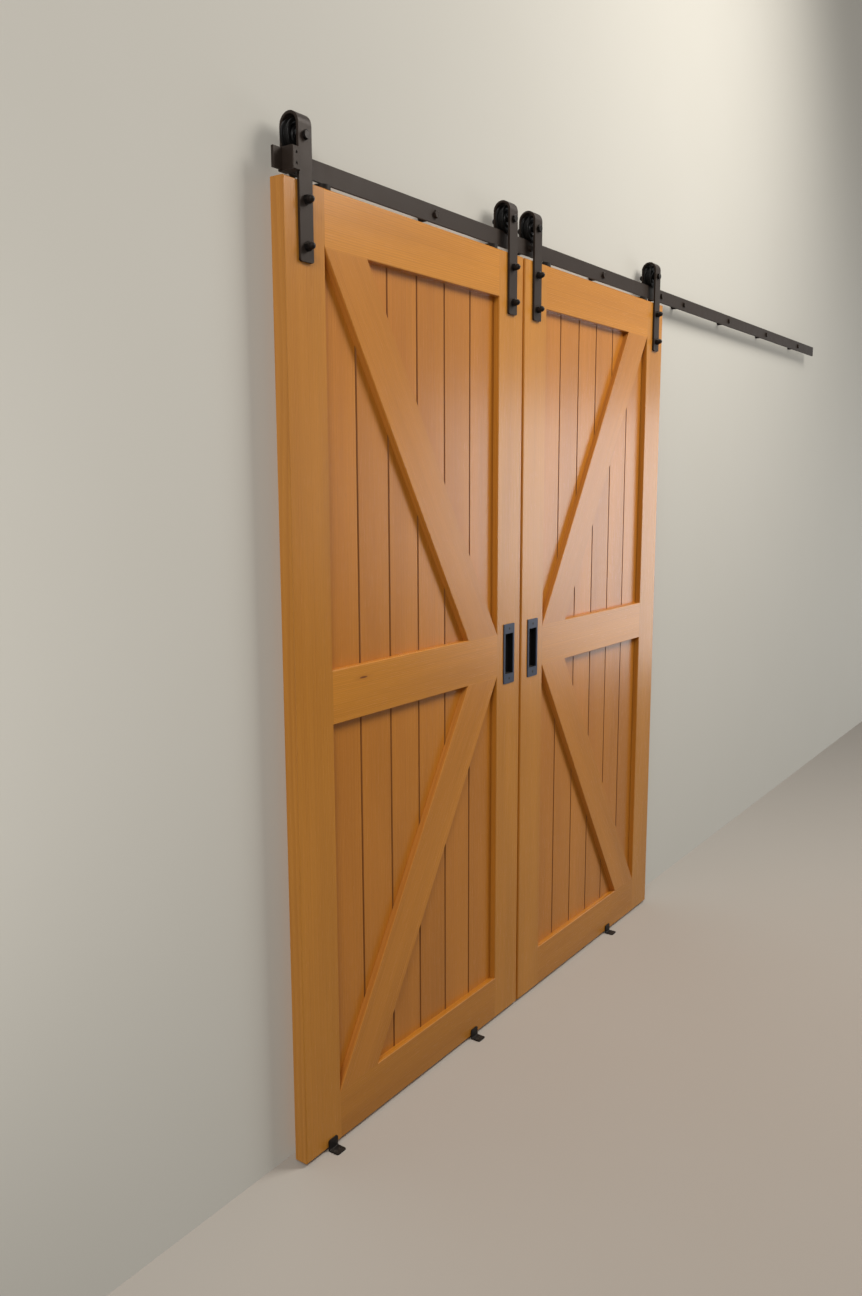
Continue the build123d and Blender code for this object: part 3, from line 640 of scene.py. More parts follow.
def hex_rings(flats, height, crown, steps=72):
    """Rings of a hexagon whose upper corners are turned off at 30 degrees."""
    flat_top = flats / 2 * crown
    foot, edge = [], []
    for step in range(steps):
        angle = 2 * pi * step / steps
        reach = hexagon_reach(angle, flats)
        fall = max(0.0, reach - flat_top) * tan(radians(30))
        foot.append((reach * cos(angle), reach * sin(angle), 0.0))
        edge.append((reach * cos(angle), reach * sin(angle), height - fall))
    return [foot, edge, ring(flat_top, height, steps)]


def master(name, points, faces, sharp=25.0):
    """A master shape that Geometry Nodes repeat."""
    made = new_piece(name, points, faces, None, sharp)
    outward(made)
    made.data.set_sharp_from_angle(angle=radians(sharp))
    return made


def hex_head_master(flats, height):
    """A hex head with a turned crown and a shallow dished top."""
    dished = height - 0.0003
    dish = [ring(flats * 0.36, height), ring(flats * 0.34, dished), ring(flats * 0.1, dished)]
    return master("hex_head_master", *stacked_rings(hex_rings(flats, height, 0.94) + dish))


def cap_nut_master(flats, height, hex_height):
    """A domed nut on its hexagon, with the dome's top left a little flat."""
    rings = hex_rings(flats, hex_height, 0.96)
    rings.append(ring(DOME_RADIUS, hex_height + 0.0002))
    rise = height - hex_height
    for step in range(DOME_STEPS):
        angle = pi / 2 * (step + 1) / (DOME_STEPS + 0.6)
        rings.append(ring(DOME_RADIUS * cos(angle), hex_height + rise * sin(angle) ** 0.94))
    return master("cap_nut_master", *stacked_rings(rings))


def screw_head_master(head_radius, depth, recess):
    """A flat screw head with a cross recess."""
    cone = ((head_radius * 0.5, -depth), (head_radius, -0.0002), (head_radius, 0.0))
    rings = [ring(radius, height, 48) for radius, height in cone]
    head = master("screw_head_master", *stacked_rings(rings))
    bars = bmesh.new()
    for turn in (0.0, pi / 2):
        size = Matrix.Diagonal((head_radius * 1.15, recess, depth * 1.6, 1.0))
        bmesh.ops.create_cube(bars, size=1.0, matrix=Matrix.Rotation(turn, 4, "Z") @ size)
    data = bpy.data.meshes.new("recess_cutter")
    bars.to_mesh(data)
    bars.free()
    cutter = new_object("recess_cutter", data)
    cut = head.modifiers.new("Recess", "BOOLEAN")
    cut.object = cutter
    cut.solver = "EXACT"
    cut.use_self = True
    apply_modifiers(head)
    bpy.data.objects.remove(cutter)
    return head


def apply_modifiers(piece):
    """Turns a piece's modifiers into its plain mesh."""
    bpy.context.view_layer.update()
    seen = piece.evaluated_get(bpy.context.evaluated_depsgraph_get())
    mesh = bpy.data.meshes.new_from_object(seen)
    piece.modifiers.clear()
    piece.data = mesh


# Geometry Nodes


def new_geometry_tree(name, inputs):
    """A Geometry Nodes tree with its named inputs and one geometry output."""
    inputs = [("Geometry", GEOMETRY, None), *inputs]
    return new_tree(name, "GeometryNodeTree", inputs, [("Geometry", GEOMETRY)])


def facing_turn(s):
    """The turn that brings +Z to the way in which a point faces."""
    facing = s.node("GeometryNodeInputNamedAttribute", {"Name": "facing"}, data_type="FLOAT_VECTOR")
    upright = {"Vector": facing.outputs["Attribute"]}
    return s.node("FunctionNodeAlignRotationToVector", upright, axis="Z").outputs[0]


def set_copies(s, ins, outs, shape, turn):
    """Puts a shape on every point, makes the copies real and gives them their material."""
    values = {"Points": ins["Geometry"], "Instance": shape, "Rotation": turn}
    copies = s.node("GeometryNodeInstanceOnPoints", values)
    real = s.node("GeometryNodeRealizeInstances", {"Geometry": copies.outputs[0]})
    values = {"Geometry": real.outputs[0], "Material": ins["Material"]}
    s.link(s.node("GeometryNodeSetMaterial", values).outputs[0], outs["Geometry"])


@built_once("Fitting Rows")
def fitting_rows_tree(name):
    """Puts one fitting on every point, turned to its facing and a little about its own axis."""
    inputs = [
        ("Fitting", "NodeSocketObject", None),
        ("Material", "NodeSocketMaterial", None),
        ("Spin", FLOAT, 0.5),
        ("Seed", WHOLE, 0),
    ]
    tree, s, ins, outs = new_geometry_tree(name, inputs)
    least, most = s.times(ins["Spin"], -1.0), ins["Spin"]
    spin = s.node("FunctionNodeRandomValue", {2: least, 3: most, "Seed": ins["Seed"]}, data_type="FLOAT")
    about = s.node("FunctionNodeAxisAngleToRotation", {"Axis": (0.0, 0.0, 1.0), "Angle": spin.outputs[1]})
    values = {"Rotation": facing_turn(s), "Rotate By": about.outputs[0]}
    turned = s.node("FunctionNodeRotateRotation", values, rotation_space="LOCAL")
    shape = s.node("GeometryNodeObjectInfo", {"Object": ins["Fitting"]}, transform_space="ORIGINAL")
    set_copies(s, ins, outs, shape.outputs["Geometry"], turned.outputs[0])
    return tree


@built_once("Threaded Rows")
def threaded_rows_tree(name):
    """Cuts a screw thread on a shank with a point, and puts one on every point."""
    inputs = [
        ("Material", "NodeSocketMaterial", None),
        ("Radius", FLOAT, 0.005),
        ("Length", FLOAT, 0.06),
        ("Tip", FLOAT, 0.008),
        ("Pitch", FLOAT, 0.004),
        ("Depth", FLOAT, 0.001),
        ("Steps Round", WHOLE, 25),
        ("Steps Along", WHOLE, 105),
    ]
    tree, s, ins, outs = new_geometry_tree(name, inputs)
    steps = {"Vertices X": ins["Steps Round"], "Vertices Y": ins["Steps Along"]}
    sheet = s.node("GeometryNodeMeshGrid", {"Size X": 1.0, "Size Y": 1.0, **steps})
    place = s.split(s.node("GeometryNodeInputPosition").outputs[0])
    round_share = s.plus(place[0], 0.5)
    long_share = s.plus(place[1], 0.5)
    angle = s.times(round_share, 2 * pi)
    far = s.times(long_share, ins["Length"])
    turns = s.minus(s.over(far, ins["Pitch"]), round_share)
    wave = s.math("ABSOLUTE", s.minus(s.math("FRACT", turns), 0.5))
    ridge = s.ramp(wave, 0.12, 0.4, 0.0, 1.0)
    core = s.minus(ins["Radius"], s.times(ridge, ins["Depth"]))
    left = s.minus(ins["Length"], far)
    taper = s.over(left, ins["Tip"], clamp=True)
    reach = s.times(core, taper)
    east, north = s.math("COSINE", angle), s.math("SINE", angle)
    spot = s.join(s.times(reach, east), s.times(reach, north), far)
    bent = s.node("GeometryNodeSetPosition", {"Geometry": sheet.outputs[0], "Position": spot})
    seam = s.node("GeometryNodeMergeByDistance", {"Geometry": bent.outputs[0], "Distance": 0.00001})
    set_copies(s, ins, outs, seam.outputs[0], facing_turn(s))
    return tree


def run_tree(name, rows, tree, values):
    """Runs a Geometry Nodes tree on spots that each face a way, and keeps the plain mesh."""
    mesh = bpy.data.meshes.new(name)
    mesh.from_pydata([tuple(spot) for spot, _ in rows], [], [])
    attribute = mesh.attributes.new("facing", "FLOAT_VECTOR", "POINT")
    attribute.data.foreach_set("vector", [x for _, way in rows for x in way])
    made = new_object(name, mesh)
    run = made.modifiers.new("Rows", "NODES")
    run.node_group = tree
    for item in tree.interface.items_tree:
        if item.item_type == "SOCKET" and item.in_out == "INPUT" and item.name in values:
            run[item.identifier] = values[item.name]
    apply_modifiers(made)
    if not made.data.polygons:
        raise RuntimeError(f"{name} came out empty")
    return made


def fitting_rows(name, fitting, rows, coat, spin, seed):
    """One fitting on each spot, each turned by up to the spin about its own axis."""
    values = {"Fitting": fitting, "Material": coat, "Spin": spin, "Seed": seed}
    return run_tree(name, rows, fitting_rows_tree(), values)


def joined(name, parts):
    """Joins finished meshes into one piece that sits at the origin."""
    mesh = bmesh.new()
    slots = []
    for part in parts:
        data = part.data
        offset = len(mesh.faces)
        mesh.from_mesh(data)
        mesh.faces.ensure_lookup_table()
        for face in mesh.faces[offset:]:
            coat = data.materials[face.material_index]
            if coat not in slots:
                slots.append(coat)
            face.material_index = slots.index(coat)
    merged = bpy.data.meshes.new(name)
    mesh.to_mesh(merged)
    mesh.free()
    for coat in slots:
        merged.materials.append(coat)
    for part in parts:
        bpy.data.objects.remove(part)
    return new_object(name, merged)


def drop(*masters):
    """Removes master shapes that are no longer needed."""
    for made in masters:
        bpy.data.objects.remove(made)


# Timber


UPRIGHT, LEVEL = (0, 0, 1), (1, 0, 0)
LEAF_SPIN = {"left": 1.0, "right": -1.0}
BRACE_WIDTH = 0.12
KNOT_PLACE = (0.1334, -1.0545)


def brace_grain(node, side, upper):
    """Direction of a brace, from the size of its box and its width."""
    low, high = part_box(node)
    width, height = high.x - low.x, high.z - low.z
    lean = acos(BRACE_WIDTH / hypot(width, height)) - atan2(height, width)
    across = sin(lean) * LEAF_SPIN[side] * (1.0 if upper else -1.0)
    return (across, 0.0, -cos(lean))


class BARNDOOR_OT_stiles_and_rails(bpy.types.Operator):
    """Gives the stiles and rails of both leaves their varnished softwood"""

    bl_idname = "barn_door.stiles_and_rails"
    bl_label = "Stiles and Rails"

    def execute(self, context):
        settings = context.scene.barn_door_timber
        # The bottom rail's lower tone is painted shade towards the floor, and the top rail's higher tone is
        # painted light from above.
        members = {
            "outer_stile": (settings.stile_colour, UPRIGHT, (0.34, 0.09), 1.0),
            "meeting_stile": (settings.stile_colour, UPRIGHT, (-0.27, 0.12), 1.03),
            "top_rail": (settings.rail_colour, LEVEL, (0.2, 0.16), 1.05),
            "mid_rail": (settings.rail_colour, LEVEL, (-0.25, 0.2), 1.01),
            "bottom_rail": (settings.rail_colour, LEVEL, (0.31, 0.11), 0.91),
        }
        for place, side in enumerate(SIDES):
            for number, (member, (early, grain, heart, tone)) in enumerate(members.items()):
                node = f"{side}_{member}"
                seed = 1.0 + number * 2.3 + place * 17.1
                knot = KNOT_PLACE if node == "left_mid_rail" else None
                dress_timber(node, early, grain, heart, seed, tone * (1.0 + 0.02 * place), knot)
        return {"FINISHED"}


class BARNDOOR_OT_boards(bpy.types.Operator):
    """Gives each board its own stretch of grain and its own tone, and painted shade on its groove flanks"""

    bl_idname = "barn_door.boards"
    bl_label = "Boards"

    def execute(self, context):
        settings = context.scene.barn_door_timber
        tones = {"left": (1.0, 0.97, 1.02, 0.99, 1.03, 1.0), "right": (1.02, 1.0, 0.97, 1.03, 0.99, 1.01)}
        hearts = ((0.21, 0.13), (-0.3, 0.08), (0.16, 0.16), (0.38, 0.07), (-0.19, 0.12), (0.27, 0.1))
        for place, side in enumerate(SIDES):
            for number, (tone, heart) in enumerate(zip(tones[side], hearts)):
                node = f"{side}_board_{number + 1}"
                seed = 40.0 + number * 3.7 + place * 29.0
                # groove=1.0 darkens each board's groove flanks as painted shade.
                dress_timber(node, settings.board_colour, UPRIGHT, heart, seed, tone, groove=1.0)
        return {"FINISHED"}


class BARNDOOR_OT_braces(bpy.types.Operator):
    """Gives the four braces softwood with the grain along them"""

    bl_idname = "barn_door.braces"
    bl_label = "Braces"

    def execute(self, context):
        settings = context.scene.barn_door_timber
        for place, side in enumerate(SIDES):
            for number, level in enumerate(("upper", "lower")):
                node = f"{side}_{level}_brace"
                grain, heart = brace_grain(node, side, level == "upper"), (0.26 - 0.5 * number, 0.12)
                seed = 90.0 + number * 5.9 + place * 13.0
                dress_timber(node, settings.brace_colour, grain, heart, seed, 1.0)
        return {"FINISHED"}


# Steel


class BARNDOOR_OT_rail(bpy.types.Operator):
    """Gives the rail, its spacers, the end stop and the floor guides their powder coat"""

    bl_idname = "barn_door.rail"
    bl_label = "Rail, Stop and Guides"

    def execute(self, context):
        settings = context.scene.barn_door_steel
        flat = steel_material("rail_coat", settings.rail_colour, 0.5)
        for node in ("rail_bar_left", "rail_bar_right"):
            dress(node, flat)
        dress("rail_spacers", steel_material("spacer_coat", settings.nut_colour, 0.5))
        dress("end_stop", steel_material("stop_coat", settings.rail_colour, 0.48))
        dress("floor_guides", steel_material("guide_coat", settings.nut_colour, 0.5, dust=0.3))
        dress("stop_screws", steel_material("stop_screw_coat", settings.nut_colour, 0.4))
        return {"FINISHED"}


class BARNDOOR_OT_hangers(bpy.types.Operator):
    """Gives the bent straps, collars, coach bolts and discs of both leaves their finish"""

    bl_idname = "barn_door.hangers"
    bl_label = "Hanger Straps"

    def execute(self, context):
        settings = context.scene.barn_door_steel
        strap = steel_material("strap_coat", settings.rail_colour, 0.46)
        black = steel_material("bolt_black", settings.nut_colour, 0.4)
        disc = steel_material("disc_coat", settings.nut_colour, 0.5)
        for side in SIDES:
            for place in PLACES:
                dress(f"{side}_{place}_hanger_strap", strap)
            collar = steel_material(f"{side}_collar_steel", settings.wheel_colour, 0.4, metallic=0.3)
            dress(f"{side}_axle_spacers", collar)
            dress(f"{side}_strap_bolts", black)
            dress(f"{side}_anti_jump_discs", disc)
        return {"FINISHED"}


WHEEL_RADIUS = 0.035
ROLLING_RADIUS = 0.03
WHEEL_HALF = 0.01
GROOVE_HALF = 0.0035
GROOVE_FLARE = 0.0055
DISH_DEPTH = 0.0035
SEAT_RADIUS = 0.015
SEAT_HALF = 0.0045
SEAT_LIP = 0.0125
BORE_RADIUS = 0.00505
SHIELD_DEPTH = 0.0007


def flipped(outline):
    """An outline's points on the other side of its middle, in the order that goes on round."""
    return [(radius, -along) for radius, along in reversed(outline)]


def wheel_outline():
    """Half section of a grooved wheel as (radius, distance along Y) points."""
    web = WHEEL_HALF - DISH_DEPTH
    half = [
        (0.019, -WHEEL_HALF), (0.0205, -web), (0.0262, -web), (0.0275, -WHEEL_HALF),
        (WHEEL_RADIUS, -WHEEL_HALF), (WHEEL_RADIUS, -GROOVE_FLARE), (ROLLING_RADIUS, -GROOVE_HALF),
    ]
    seat = [(SEAT_LIP, WHEEL_HALF), (SEAT_LIP, SEAT_HALF), (SEAT_RADIUS, SEAT_HALF)]
    return eased([(SEAT_RADIUS, -WHEEL_HALF), *half, *flipped(half), *seat], 0.0007)


def bearing_outline():
    """Half section of a shielded ball bearing."""
    face, shield = SEAT_HALF, SEAT_HALF - SHIELD_DEPTH
    half = [
        (BORE_RADIUS, face), (0.0075, face), (0.0079, shield), (0.0124, shield), (0.0128, face),
        (SEAT_RADIUS, face),
    ]
    return eased(half + flipped(half), 0.0003, 2)


class BARNDOOR_OT_wheels(bpy.types.Operator):
    """Turns the four grooved wheels and their ball bearings"""

    bl_idname = "barn_door.wheels"
    bl_label = "Wheels and Bearings"

    def execute(self, context):
        steel = context.scene.barn_door_steel
        steps = context.scene.barn_door_fittings.wheel_steps
        for side in SIDES:
            for place in PLACES:
                name = f"{side}_{place}"
                centre = centre_of(f"{name}_wheel")
                body = f"{name}_roller"
                coat = turned_material(f"{name}_wheel_steel", steel.wheel_colour, centre, 0.36, 0.35)
                wheel = turned_piece(f"{name}_turned_wheel", wheel_outline(), centre, coat, steps)
                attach(wheel, body)
                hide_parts(f"{name}_wheel")
                bright = turned_material(f"{name}_bearing_steel", steel.bright_colour, centre, 0.28, 0.95)
                inside = centre_of(f"{name}_wheel_bearing")
                ball = turned_piece(f"{name}_ball_bearing", bearing_outline(), inside, bright, steps)
                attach(ball, body)
                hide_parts(f"{name}_wheel_bearing")
        return {"FINISHED"}


TO_FRONT, TO_WALL, UP = (0.0, -1.0, 0.0), (0.0, 1.0, 0.0), (0.0, 0.0, 1.0)
DOME_RADIUS, DOME_STEPS = 0.008, 12
LEG_NUT_HEIGHT, LEG_NUT_HEX = 0.02, 0.0095
AXLE_NUT_HEIGHT, AXLE_NUT_HEX = 0.0145, 0.0075
AXLE_HEAD, AXLE_LAP, AXLE_RADIUS = 0.007, 0.001, 0.005
WALL_HEAD, WALL_LAP, WALL_SHANK_RADIUS, WALL_THREAD_RADIUS = 0.0065, 0.0015, 0.0046, 0.005
SCREW_HEAD_DEPTH, SCREW_LENGTH = 0.002, 0.022
SMALL_SPIN, SCREW_SPIN = 0.5, 0.7
THREAD_LAP = 0.001


def shank(name, radius, start, end, middle, coat, steps):
    """A plain round rod between two places along Y."""
    outline = [(0.0, start), (radius, start), (radius, end), (0.0, end)]
    return turned_piece(name, outline, (middle[0], 0.0, middle[2]), coat, steps)


class BARNDOOR_OT_nuts_and_axles(bpy.types.Operator):
    """Puts the domed nuts and the hex heads of the axles on both leaves"""

    bl_idname = "barn_door.nuts_and_axles"
    bl_label = "Cap Nuts and Axle Bolts"

    def execute(self, context):
        steel = context.scene.barn_door_steel
        sizes = context.scene.barn_door_fittings
        nut_coat = steel_material("cap_nut_black", steel.nut_colour, 0.34, bump=0.00002)
        axle_coat = steel_material("axle_bolt_black", steel.wheel_colour, 0.36, bump=0.00002)
        leg_nut = cap_nut_master(sizes.nut_flats, LEG_NUT_HEIGHT, LEG_NUT_HEX)
        axle_nut = cap_nut_master(sizes.nut_flats, AXLE_NUT_HEIGHT, AXLE_NUT_HEX)
        head = hex_head_master(sizes.axle_bolt_flats, AXLE_HEAD)
        for place, side in enumerate(SIDES):
            strap_middle = centre_of(f"{side}_outer_hanger_strap").y
            legs, axles = [], []
            for low, high in solids_of(f"{side}_cap_nuts"):
                middle = (low + high) / 2
                if high[1] < strap_middle:
                    legs.append(((middle[0], high[1], middle[2]), TO_FRONT))
                else:
                    axles.append(((middle[0], low[1], middle[2]), TO_WALL))
            front = fitting_rows("leg_nuts", leg_nut, legs, nut_coat, SMALL_SPIN, 4 + place)
            back = fitting_rows("axle_nuts", axle_nut, axles, nut_coat, SMALL_SPIN, 7 + place)
            nuts = joined(f"{side}_domed_nuts", [front, back])
            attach(nuts, f"{side}_leaf")
            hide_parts(f"{side}_cap_nuts")
            rows, shanks = [], []
            for low, high in solids_of(f"{side}_axle_bolts"):
                middle = (low + high) / 2
                under = low[1] + AXLE_HEAD
                rows.append(((middle[0], under, middle[2]), TO_FRONT))
                start = under - AXLE_LAP
                shanks.append(shank("axle_shank", AXLE_RADIUS, start, high[1], middle, axle_coat, 48))
            heads = fitting_rows(f"{side}_axle_heads", head, rows, axle_coat, SMALL_SPIN, 11 + place)
            bolts = joined(f"{side}_axles", [heads, *shanks])
            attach(bolts, f"{side}_leaf")
            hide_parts(f"{side}_axle_bolts")
        drop(leg_nut, axle_nut, head)
        return {"FINISHED"}


class BARNDOOR_OT_wall_bolts(bpy.types.Operator):
    """Puts the wall bolts in the rail, with their threads in the wall"""

    bl_idname = "barn_door.wall_bolts"
    bl_label = "Wall Bolts"

    def execute(self, context):
        steel = context.scene.barn_door_steel
        sizes = context.scene.barn_door_fittings
        coat = steel_material("wall_bolt_black", steel.rail_colour, 0.4, bump=0.00002)
        head = hex_head_master(sizes.wall_bolt_flats, WALL_HEAD)
        rows, starts, shanks = [], [], []
        for low, high in solids_of("wall_bolts"):
            middle = (low + high) / 2
            under = low[1] + WALL_HEAD
            rows.append(((middle[0], under, middle[2]), TO_FRONT))
            starts.append(((middle[0], 0.0, middle[2]), TO_WALL))
            tip = high[1]
            start = under - WALL_LAP
            shanks.append(shank("bolt_shank", WALL_SHANK_RADIUS, start, THREAD_LAP, middle, coat, 40))
        heads = fitting_rows("bolt_heads", head, rows, coat, SMALL_SPIN, 23)
        values = {
            "Material": coat, "Radius": WALL_THREAD_RADIUS, "Length": float(tip), "Tip": 0.008,
            "Pitch": sizes.thread_pitch, "Depth": sizes.thread_depth,
        }
        threads = run_tree("bolt_threads", starts, threaded_rows_tree(), values)
        bolts = joined("threaded_wall_bolts", [heads, threads, *shanks])
        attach(bolts, RAIL_BODY)
        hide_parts("wall_bolts")
        drop(head)
        return {"FINISHED"}


class BARNDOOR_OT_screws(bpy.types.Operator):
    """Puts cross-headed screws in the pulls, the discs and the floor guides"""

    bl_idname = "barn_door.screws"
    bl_label = "Screws"

    def execute(self, context):
        steel = context.scene.barn_door_steel
        sizes = context.scene.barn_door_fittings
        coat = steel_material("screw_black", steel.nut_colour, 0.32, bump=0.00001)
        kinds = [(f"{side}_wood_screws", f"{side}_leaf", 0.004) for side in SIDES]
        kinds.append(("guide_screws", RAIL_BODY, 0.0042))
        for number, (node, body, radius) in enumerate(kinds):
            head = screw_head_master(radius, SCREW_HEAD_DEPTH, sizes.recess_width)
            rows, starts = [], []
            for low, high in solids_of(node):
                middle = (low + high) / 2
                if high[2] - low[2] < high[1] - low[1]:
                    spot, way = (middle[0], low[1], middle[2]), TO_FRONT
                else:
                    spot, way = (middle[0], middle[1], high[2]), UP
                rows.append((spot, way))
                start = np.array(spot) - np.array(way) * SCREW_HEAD_DEPTH
                starts.append((start, [-x for x in way]))
            heads = fitting_rows(f"{node}_heads", head, rows, coat, SCREW_SPIN, 31 + number)
            values = {
                "Material": coat, "Radius": radius / 2, "Length": SCREW_LENGTH, "Tip": 0.004,
                "Pitch": 0.0018, "Depth": 0.0005, "Steps Round": 13, "Steps Along": 61,
            }
            threads = run_tree(f"{node}_threads", starts, threaded_rows_tree(), values)
            screws = joined(f"{node}_cross_headed", [heads, threads])
            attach(screws, body)
            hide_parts(node)
            drop(head)
        return {"FINISHED"}


CUP_START = 0.003


class BARNDOOR_OT_flush_pulls(bpy.types.Operator):
    """Gives the flush pulls their satin gunmetal, with painted shade inside the cup"""

    bl_idname = "barn_door.flush_pulls"
    bl_label = "Flush Pulls"

    def execute(self, context):
        steel = context.scene.barn_door_steel
        for side in SIDES:
            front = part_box(f"{side}_flush_pull")[0].y
            coat = steel_material(
                f"{side}_pull_gunmetal", steel.pull_colour, 0.42, grain=0.6, bump=0.00002,
                metallic=0.25, cup_level=front + CUP_START,
            )
            dress(f"{side}_flush_pull", coat)
        return {"FINISHED"}


# Stage


CAMERA_PLACE = (-1.6592, -1.50959, -0.63211)
CAMERA_TURN = (54.3657, 9.0745, -0.2831)
PHOTO_SIZE = (862, 1296)
CAMERA_FOCAL_PIXELS = 1036.62
CAMERA_SHIFT_PIXELS = (8.32, 4.77)
REACH = 14.0
BACKDROP_TOP = 4.5
BACKDROP_GAP = 0.0005


def plain_material(name, paint):
    """A soft pale finish for the floor and the backdrop."""
    made, s, surface, place = new_material(name)
    cloud = s.ramp(s.noise(place["Object"], 3.0, 3.0)["Fac"], 0.3, 0.7, 0.0, 0.06)
    s.link(s.mix(cloud, paint, (0.5, 0.48, 0.45, 1.0)), surface.inputs["Base Color"])
    surface.inputs["Roughness"].default_value = 0.9
    return made, s, surface


def wide_corners(low, high):
    """Corners of a rectangle as wide as the stage."""
    return (-REACH, low), (REACH, low), (REACH, high), (-REACH, high)


def stage_panel(name, corners, material):
    """One flat face of the stage."""
    made = new_piece(name, corners, [(0, 1, 2, 3)], material)
    return made


def area_lamp(name, place, target, size, power, tint=(1.0, 1.0, 1.0), spread=pi):
    """A soft lamp of a width, height and spread that looks at a point, unseen by the camera."""
    data = bpy.data.lights.new(name, "AREA")
    data.shape = "RECTANGLE"
    data.size, data.size_y = size
    data.energy = power
    data.spread = spread
    data.color = tint
    made = new_object(name, data)
    made.location = place
    made.rotation_euler = (Vector(target) - Vector(place)).to_track_quat("-Z", "Y").to_euler()
    made.visible_camera = False


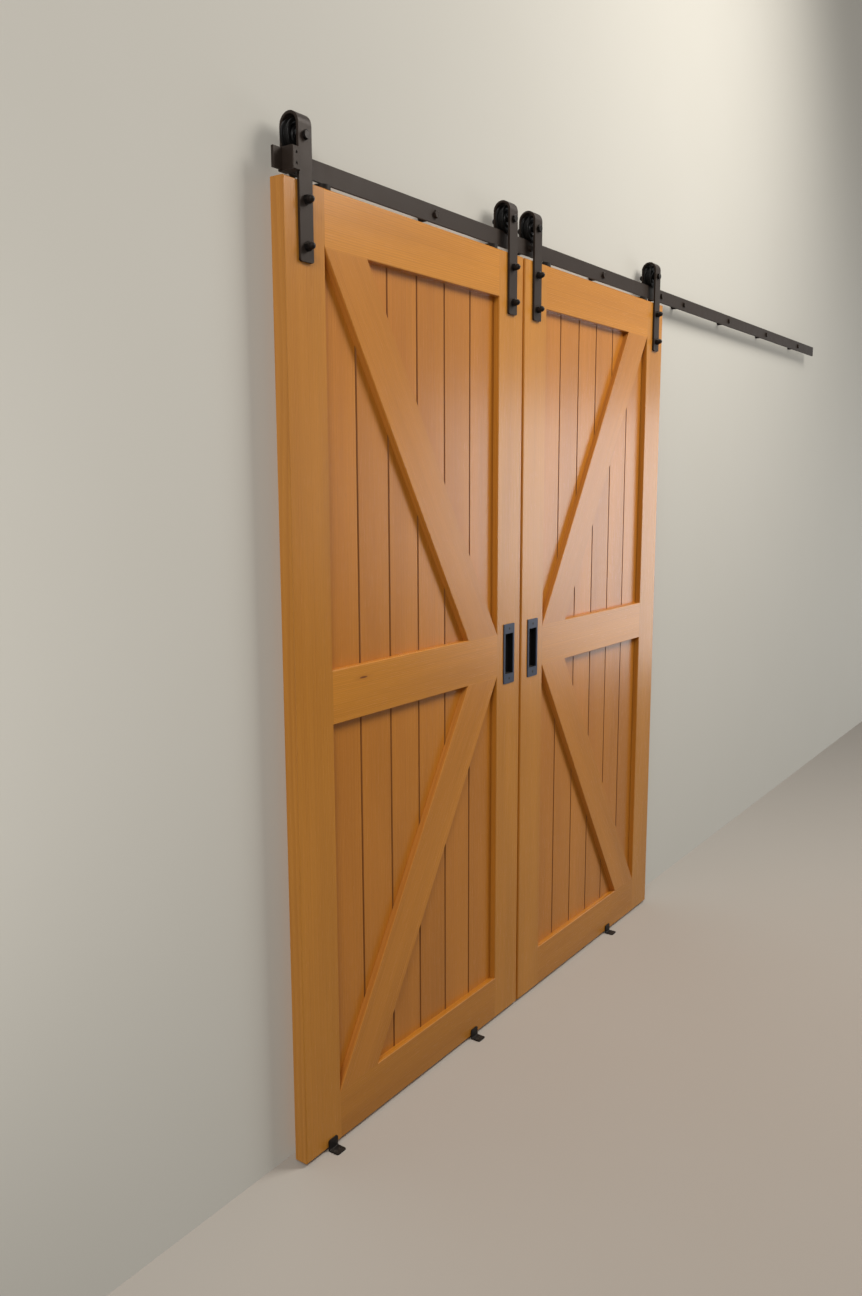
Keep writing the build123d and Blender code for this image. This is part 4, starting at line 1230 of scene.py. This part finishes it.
class BARNDOOR_OT_stage(bpy.types.Operator):
    """Sets up the floor, the backdrop, the lamps and the camera"""

    bl_idname = "barn_door.stage"
    bl_label = "Stage"

    def execute(self, context):
        scene = context.scene
        settings = scene.barn_door_stage
        floor_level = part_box("floor_guides")[0].z
        finish, _, _ = plain_material("floor_finish", settings.floor_colour)
        corners = [(x, y, floor_level) for x, y in wide_corners(-REACH, REACH)]
        floor = stage_panel("floor", corners, finish)
        floor.visible_diffuse = False
        finish, s, surface = plain_material("backdrop_finish", settings.backdrop_colour)
        surface.inputs["Emission Color"].default_value = settings.backdrop_colour
        surface.inputs["Emission Strength"].default_value = settings.backdrop_glow
        finish.cycles.emission_sampling = "NONE"
        away = s.node("ShaderNodeNewGeometry").outputs["Backfacing"]
        clear = s.node("ShaderNodeBsdfTransparent").outputs[0]
        either = s.node("ShaderNodeMixShader", {0: away, 1: surface.outputs[0], 2: clear})
        end = next(n for n in s.tree.nodes if n.type == "OUTPUT_MATERIAL")
        s.link(either.outputs[0], end.inputs["Surface"])
        corners = [(x, BACKDROP_GAP, z) for x, z in wide_corners(floor_level, BACKDROP_TOP)]
        backdrop = stage_panel("backdrop", corners, finish)
        backdrop.visible_diffuse = False
        backdrop.visible_glossy = False
        backdrop.visible_transmission = False
        backdrop.visible_shadow = False

        grid = radians(130.0)
        warm, cool = (1.0, 0.985, 0.95), (0.93, 0.97, 1.0)
        area_lamp(
            "key_lamp", (2.5, -2.2, 1.9), (1.1, 0.0, -0.3), (1.7, 1.7), settings.key_power, warm, grid
        )
        area_lamp(
            "fill_lamp", (-3.2, -1.9, 1.8), (0.4, 0.0, -0.7), (1.4, 1.4), settings.fill_power, spread=grid
        )
        area_lamp(
            "side_lamp", (-1.15, -0.5, -0.95), (0.0, -0.04, -0.95), (0.5, 1.3), settings.side_power
        )
        panes = ((6.2, -2.3, (2.2, 2.1), 0.855), (4.4, -2.35, (0.7, 1.3), 0.145))
        for number, (x, y, size, part) in enumerate(panes):
            z = -size[1] / 2
            watts = settings.sheen_power * part
            area_lamp(f"window_lamp_{number + 1}", (x, y, z), (x - 4.6, 0.0, z), size, watts, cool)

        world = bpy.data.worlds.new("surround")
        scene.world = world
        world.use_nodes = True
        world.node_tree.nodes.clear()
        w = Shade(world.node_tree)
        path = w.node("ShaderNodeLightPath").outputs
        mirrored = w.math("MAXIMUM", path["Is Glossy Ray"], path["Is Transmission Ray"])
        seen = w.math("MAXIMUM", path["Is Camera Ray"], mirrored)
        way = w.split(w.node("ShaderNodeTexCoord").outputs["Generated"])
        behind = w.times(w.ramp(way[1], 0.3, 0.75), w.ramp(way[2], 0.1, 0.7, 1.0, 0.4))
        strength = w.plus(w.times(behind, settings.back_light), settings.sky)
        dim = w.node("ShaderNodeBackground", {"Color": (1.0, 0.95, 0.88, 1.0), "Strength": strength})
        pale = w.node("ShaderNodeBackground", {"Color": (0.8, 0.79, 0.77, 1.0), "Strength": 0.66})
        both = w.node("ShaderNodeMixShader", {0: seen, 1: dim.outputs[0], 2: pale.outputs[0]})
        out = w.node("ShaderNodeOutputWorld")
        w.link(both.outputs[0], out.inputs["Surface"])

        data = bpy.data.cameras.new("camera")
        data.sensor_width = 36.0
        data.lens = CAMERA_FOCAL_PIXELS * data.sensor_width / max(PHOTO_SIZE)
        data.shift_x = CAMERA_SHIFT_PIXELS[0] / max(PHOTO_SIZE)
        data.shift_y = CAMERA_SHIFT_PIXELS[1] / max(PHOTO_SIZE)
        data.clip_end = 200.0
        camera = new_object("camera", data)
        camera.location = CAMERA_PLACE
        yaw, pitch, roll = (radians(angle) for angle in CAMERA_TURN)
        level = Euler((pi / 2 - pitch, 0.0, -yaw)).to_matrix()
        camera.rotation_euler = (level @ Matrix.Rotation(roll, 3, "Z")).to_euler()
        scene.camera = camera
        scene.view_settings.view_transform = "Standard"
        return {"FINISHED"}


OPERATORS = (
    BARNDOOR_OT_stiles_and_rails,
    BARNDOOR_OT_boards,
    BARNDOOR_OT_braces,
    BARNDOOR_OT_rail,
    BARNDOOR_OT_hangers,
    BARNDOOR_OT_wheels,
    BARNDOOR_OT_nuts_and_axles,
    BARNDOOR_OT_wall_bolts,
    BARNDOOR_OT_screws,
    BARNDOOR_OT_flush_pulls,
    BARNDOOR_OT_stage,
)


class BARNDOOR_PT_panel(bpy.types.Panel):
    """Settings and steps of the barn doors"""

    bl_idname = "BARNDOOR_PT_panel"
    bl_label = "Barn Doors"
    bl_space_type = "VIEW_3D"
    bl_region_type = "UI"
    bl_category = "Barn Doors"

    def draw(self, context):
        for name, group in SETTINGS.items():
            box = self.layout.box()
            box.label(text=group.__name__.replace("Settings", ""))
            for key in group.__annotations__:
                box.prop(getattr(context.scene, name), key)
        for operator in OPERATORS:
            self.layout.operator(operator.bl_idname)


def register():
    for group in SETTINGS.values():
        bpy.utils.register_class(group)
    for name, group in SETTINGS.items():
        setattr(bpy.types.Scene, name, PointerProperty(type=group))
    for operator in OPERATORS:
        bpy.utils.register_class(operator)
    bpy.utils.register_class(BARNDOOR_PT_panel)


def unregister():
    bpy.utils.unregister_class(BARNDOOR_PT_panel)
    for operator in reversed(OPERATORS):
        bpy.utils.unregister_class(operator)
    for name in SETTINGS:
        delattr(bpy.types.Scene, name)
    for group in reversed(SETTINGS.values()):
        bpy.utils.unregister_class(group)


def main():
    register()
    for operator in OPERATORS:
        group, step = operator.bl_idname.split(".")
        if getattr(getattr(bpy.ops, group), step)() != {"FINISHED"}:
            raise RuntimeError(f"{operator.bl_label} did not finish")


if __name__ == "__main__":
    main()
